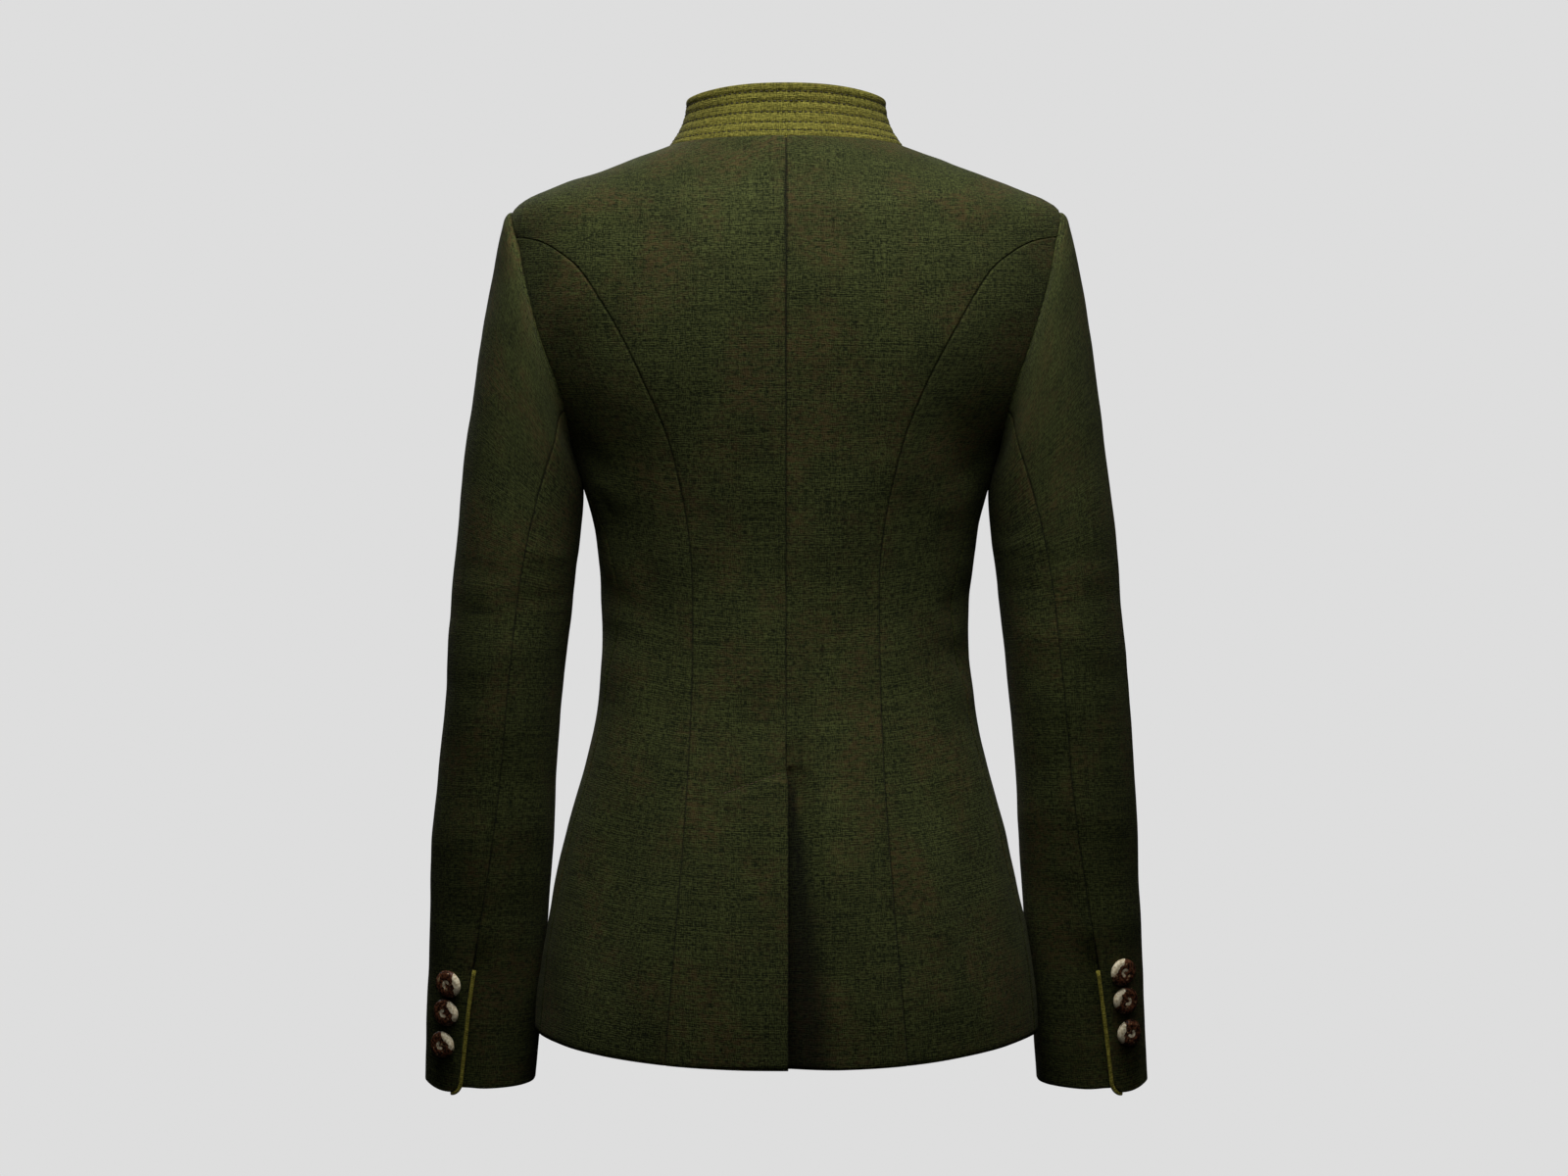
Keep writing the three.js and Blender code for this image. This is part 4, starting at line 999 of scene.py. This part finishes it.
for i in range(FRONT_BUTTON["count"]):
    height = np.array(FRONT_BUTTON["top"] - i * FRONT_BUTTON["pitch"], float)
    level = level_at(height, lambda at: -90.0 + 0 * at)
    button_mesh(f"horn_front_{i + 1}", torso_point(-90.0, level), torso_normal(-90.0, level),
                FRONT_BUTTON, 60 + i, f"front_button_{i + 1}", 0.6 + 1.9 * i)


# ---- The collar ----

def collar_profile(key, angle):
    side, back, front = COLLAR[key]
    s = np.sin(np.radians(angle))
    return lerp(side, np.where(s > 0, back, front), s * s)


def collar_point(angle, share):
    foot = torso_point(angle, float(NECK))
    along = torso_point(angle + 0.5, float(NECK)) - torso_point(angle - 0.5, float(NECK))
    out = unit(np.stack([along[..., 1], -along[..., 0], 0 * along[..., 0]], -1))
    from_end = np.maximum(np.abs(foot[..., 0]) - COLLAR["from_centre"], 0)
    cut = np.where(foot[..., 1] < 0, corner_cut(from_end, COLLAR["corner"]), 0)
    lean = collar_profile("lean", angle) * (1 - (1 - np.maximum(share, 0)) ** COLLAR["flare"])
    p = foot - out * lean[..., None]
    p[..., 2] += 0.15 + collar_profile("rise", angle) * share - cut * np.maximum(share, 0) ** 3
    return p, out


COLLAR_TALL, COLLAR_END = 34, 6  # mm, and degrees by each end that are netted more finely
end = float(angle_at_x(np.array(COLLAR["from_centre"], float), NECK, -1))
by_end = lerp(end, end + COLLAR_END, np.linspace(0, 1, 9) ** 1.5)
middle = np.linspace(end + COLLAR_END, 180 - COLLAR_END - end, 330)[:-1]
angles = np.concatenate([by_end[:-1], middle, 180 - by_end[::-1]])
edges = np.array(COLLAR["edges"])
share = np.concatenate([[-0.06, -0.03]] + [
    lerp(a, b, np.linspace(0, 1, 11)[:-1]) for a, b in zip(edges[:-1], edges[1:])] + [[1.0]])
band = np.clip(np.searchsorted(edges, share, side="right") - 1, 0, 5)
within = (share - edges[band]) / (edges[band + 1] - edges[band])
plump = (np.sin(np.pi * np.clip(within, 0, 1)) ** 0.7 * np.where(band == 0, 0.6, 1))[:, None]
base, out = collar_point(*np.meshgrid(angles, share))
run = lengths(base[0])[None, :] * MM
along = run / MM
wave = np.sin(along * 0.55 + 3 * np.sin(along * 0.06) + band[:, None])
rib = COLLAR["rib_height"] * plump + 0.16 * (plump > 0.3) * wave + 0.12 * unevenness(base * 3)
outer = base + out * rib[..., None]
uv = np.stack(np.broadcast_arrays(run, lengths(outer[:, 170])[:, None] * MM), -1)
# The inner side is smooth, so each place of the outer side has its own way in to it.
inward = outer - (base - out * COLLAR["thick"])
# Painted shade darkens the collar's grooves between its rows of ribs.
groove = np.abs(share[:, None] - edges[None, 1:-1]).min(axis=1) * COLLAR_TALL
cloth_piece("collar", outer, inward, uv, OLIVE, "olive_linen", thick=1.0,
            seam=0.6 * np.exp(-np.square(groove / 0.7))[:, None], hollow=0.0)
for k, at in enumerate(edges[1:-1]):
    line, outs = collar_point(np.linspace(end + 3, 177 - end, 600), np.full(600, at))
    stitches(f"collar_stitches_{k + 1}", line + outs * 0.34, outs, OLIVE_THREAD, "olive_linen",
             **COLLAR_STITCH)

# The slanting row that holds the vent's underlap falls from the middle out to the left.
x = np.linspace(42, 1.5, 60)
z = -423.3 - 14.4 * x / 41.5
level = level_at(z, lambda at: angle_at_x(x, at, 1))
angle = angle_at_x(x, level, 1)
line, outs = torso_point(angle, level), torso_normal(angle, level)
lift = unevenness(line) + creases(line, 1) + 0.08
stitches("vent_stitches", line + outs * lift[:, None], outs, BROWN_THREAD, "green_linen",
         **VENT_STITCH)


# ---- The studio ----

def area_light(name, place, target, size, energy):
    data = bpy.data.lights.new(name, "AREA")
    data.shape = "RECTANGLE"
    data.size, data.size_y = size
    data.energy = energy
    obj = bpy.data.objects.new(name, data)
    bpy.context.scene.collection.objects.link(obj)
    obj.location = place
    obj.rotation_euler = (Vector(target) - Vector(place)).to_track_quat("-Z", "Y").to_euler()


area_light("top", (0, 0.55, 1.15), (0, 0.05, -0.2), (0.8, 0.55), 25.5)
area_light("back", (0, 2.9, 0.5), (0, 0.05, -0.3), (0.8, 0.8), 3.8)
area_light("near", (0, 0.8, 0.35), (0, 0.05, -0.2), (0.5, 0.5), 1.95)
area_light("side", (-1.0, 0.4, 0.9), (-0.1, 0, -0.2), (0.6, 0.6), 1.6)
area_light("front_fill", (0.6, -2.6, 1.2), (0, 0, -0.3), (2.2, 1.8), 30)

world = bpy.data.worlds.new("studio")
bpy.context.scene.world = world
world.use_nodes = True
nodes, links = world.node_tree.nodes, world.node_tree.links
seen, lit = nodes["Background"], nodes.new("ShaderNodeBackground")
seen.inputs[0].default_value = (0.73, 0.73, 0.73, 1)
seen.inputs[1].default_value = 1.0
lit.inputs[0].default_value = (1, 1, 1, 1)
lit.inputs[1].default_value = 0.006
path, both = nodes.new("ShaderNodeLightPath"), nodes.new("ShaderNodeMixShader")
links.new(path.outputs["Is Camera Ray"], both.inputs[0])
links.new(lit.outputs[0], both.inputs[1])
links.new(seen.outputs[0], both.inputs[2])
links.new(both.outputs[0], nodes["World Output"].inputs[0])

# The floor is as pale as the studio round it, and throws no light on the jacket.
FLOOR_RADIUS, FLOOR_HEIGHT = 9.0, -2.0
ring = [(FLOOR_RADIUS * math.cos(t), FLOOR_RADIUS * math.sin(t), FLOOR_HEIGHT)
        for t in np.linspace(0, 2 * math.pi, 97)[:-1]]
floor = bpy.data.meshes.new("floor")
floor.from_pydata(ring, [], [tuple(range(96))])
pale = Shader("pale_floor")
floor.materials.append(pale.finish({
    "Base Color": (0, 0, 0, 1), "Specular IOR Level": 0,
    "Emission Color": (0.73, 0.73, 0.73, 1), "Emission Strength": 1.0}))
ground = bpy.data.objects.new("floor", floor)
bpy.context.scene.collection.objects.link(ground)
ground.visible_diffuse = ground.visible_glossy = ground.visible_shadow = False

camera_data = bpy.data.cameras.new("camera")
camera_data.sensor_width = 36
camera_data.lens = 107.5
camera = bpy.data.objects.new("camera", camera_data)
bpy.context.scene.collection.objects.link(camera)
camera.location = (0.00134, 3.2, -0.3015)
camera.rotation_euler = (math.radians(90), 0, math.radians(180))
bpy.context.scene.camera = camera
bpy.context.scene.view_settings.view_transform = "Standard"
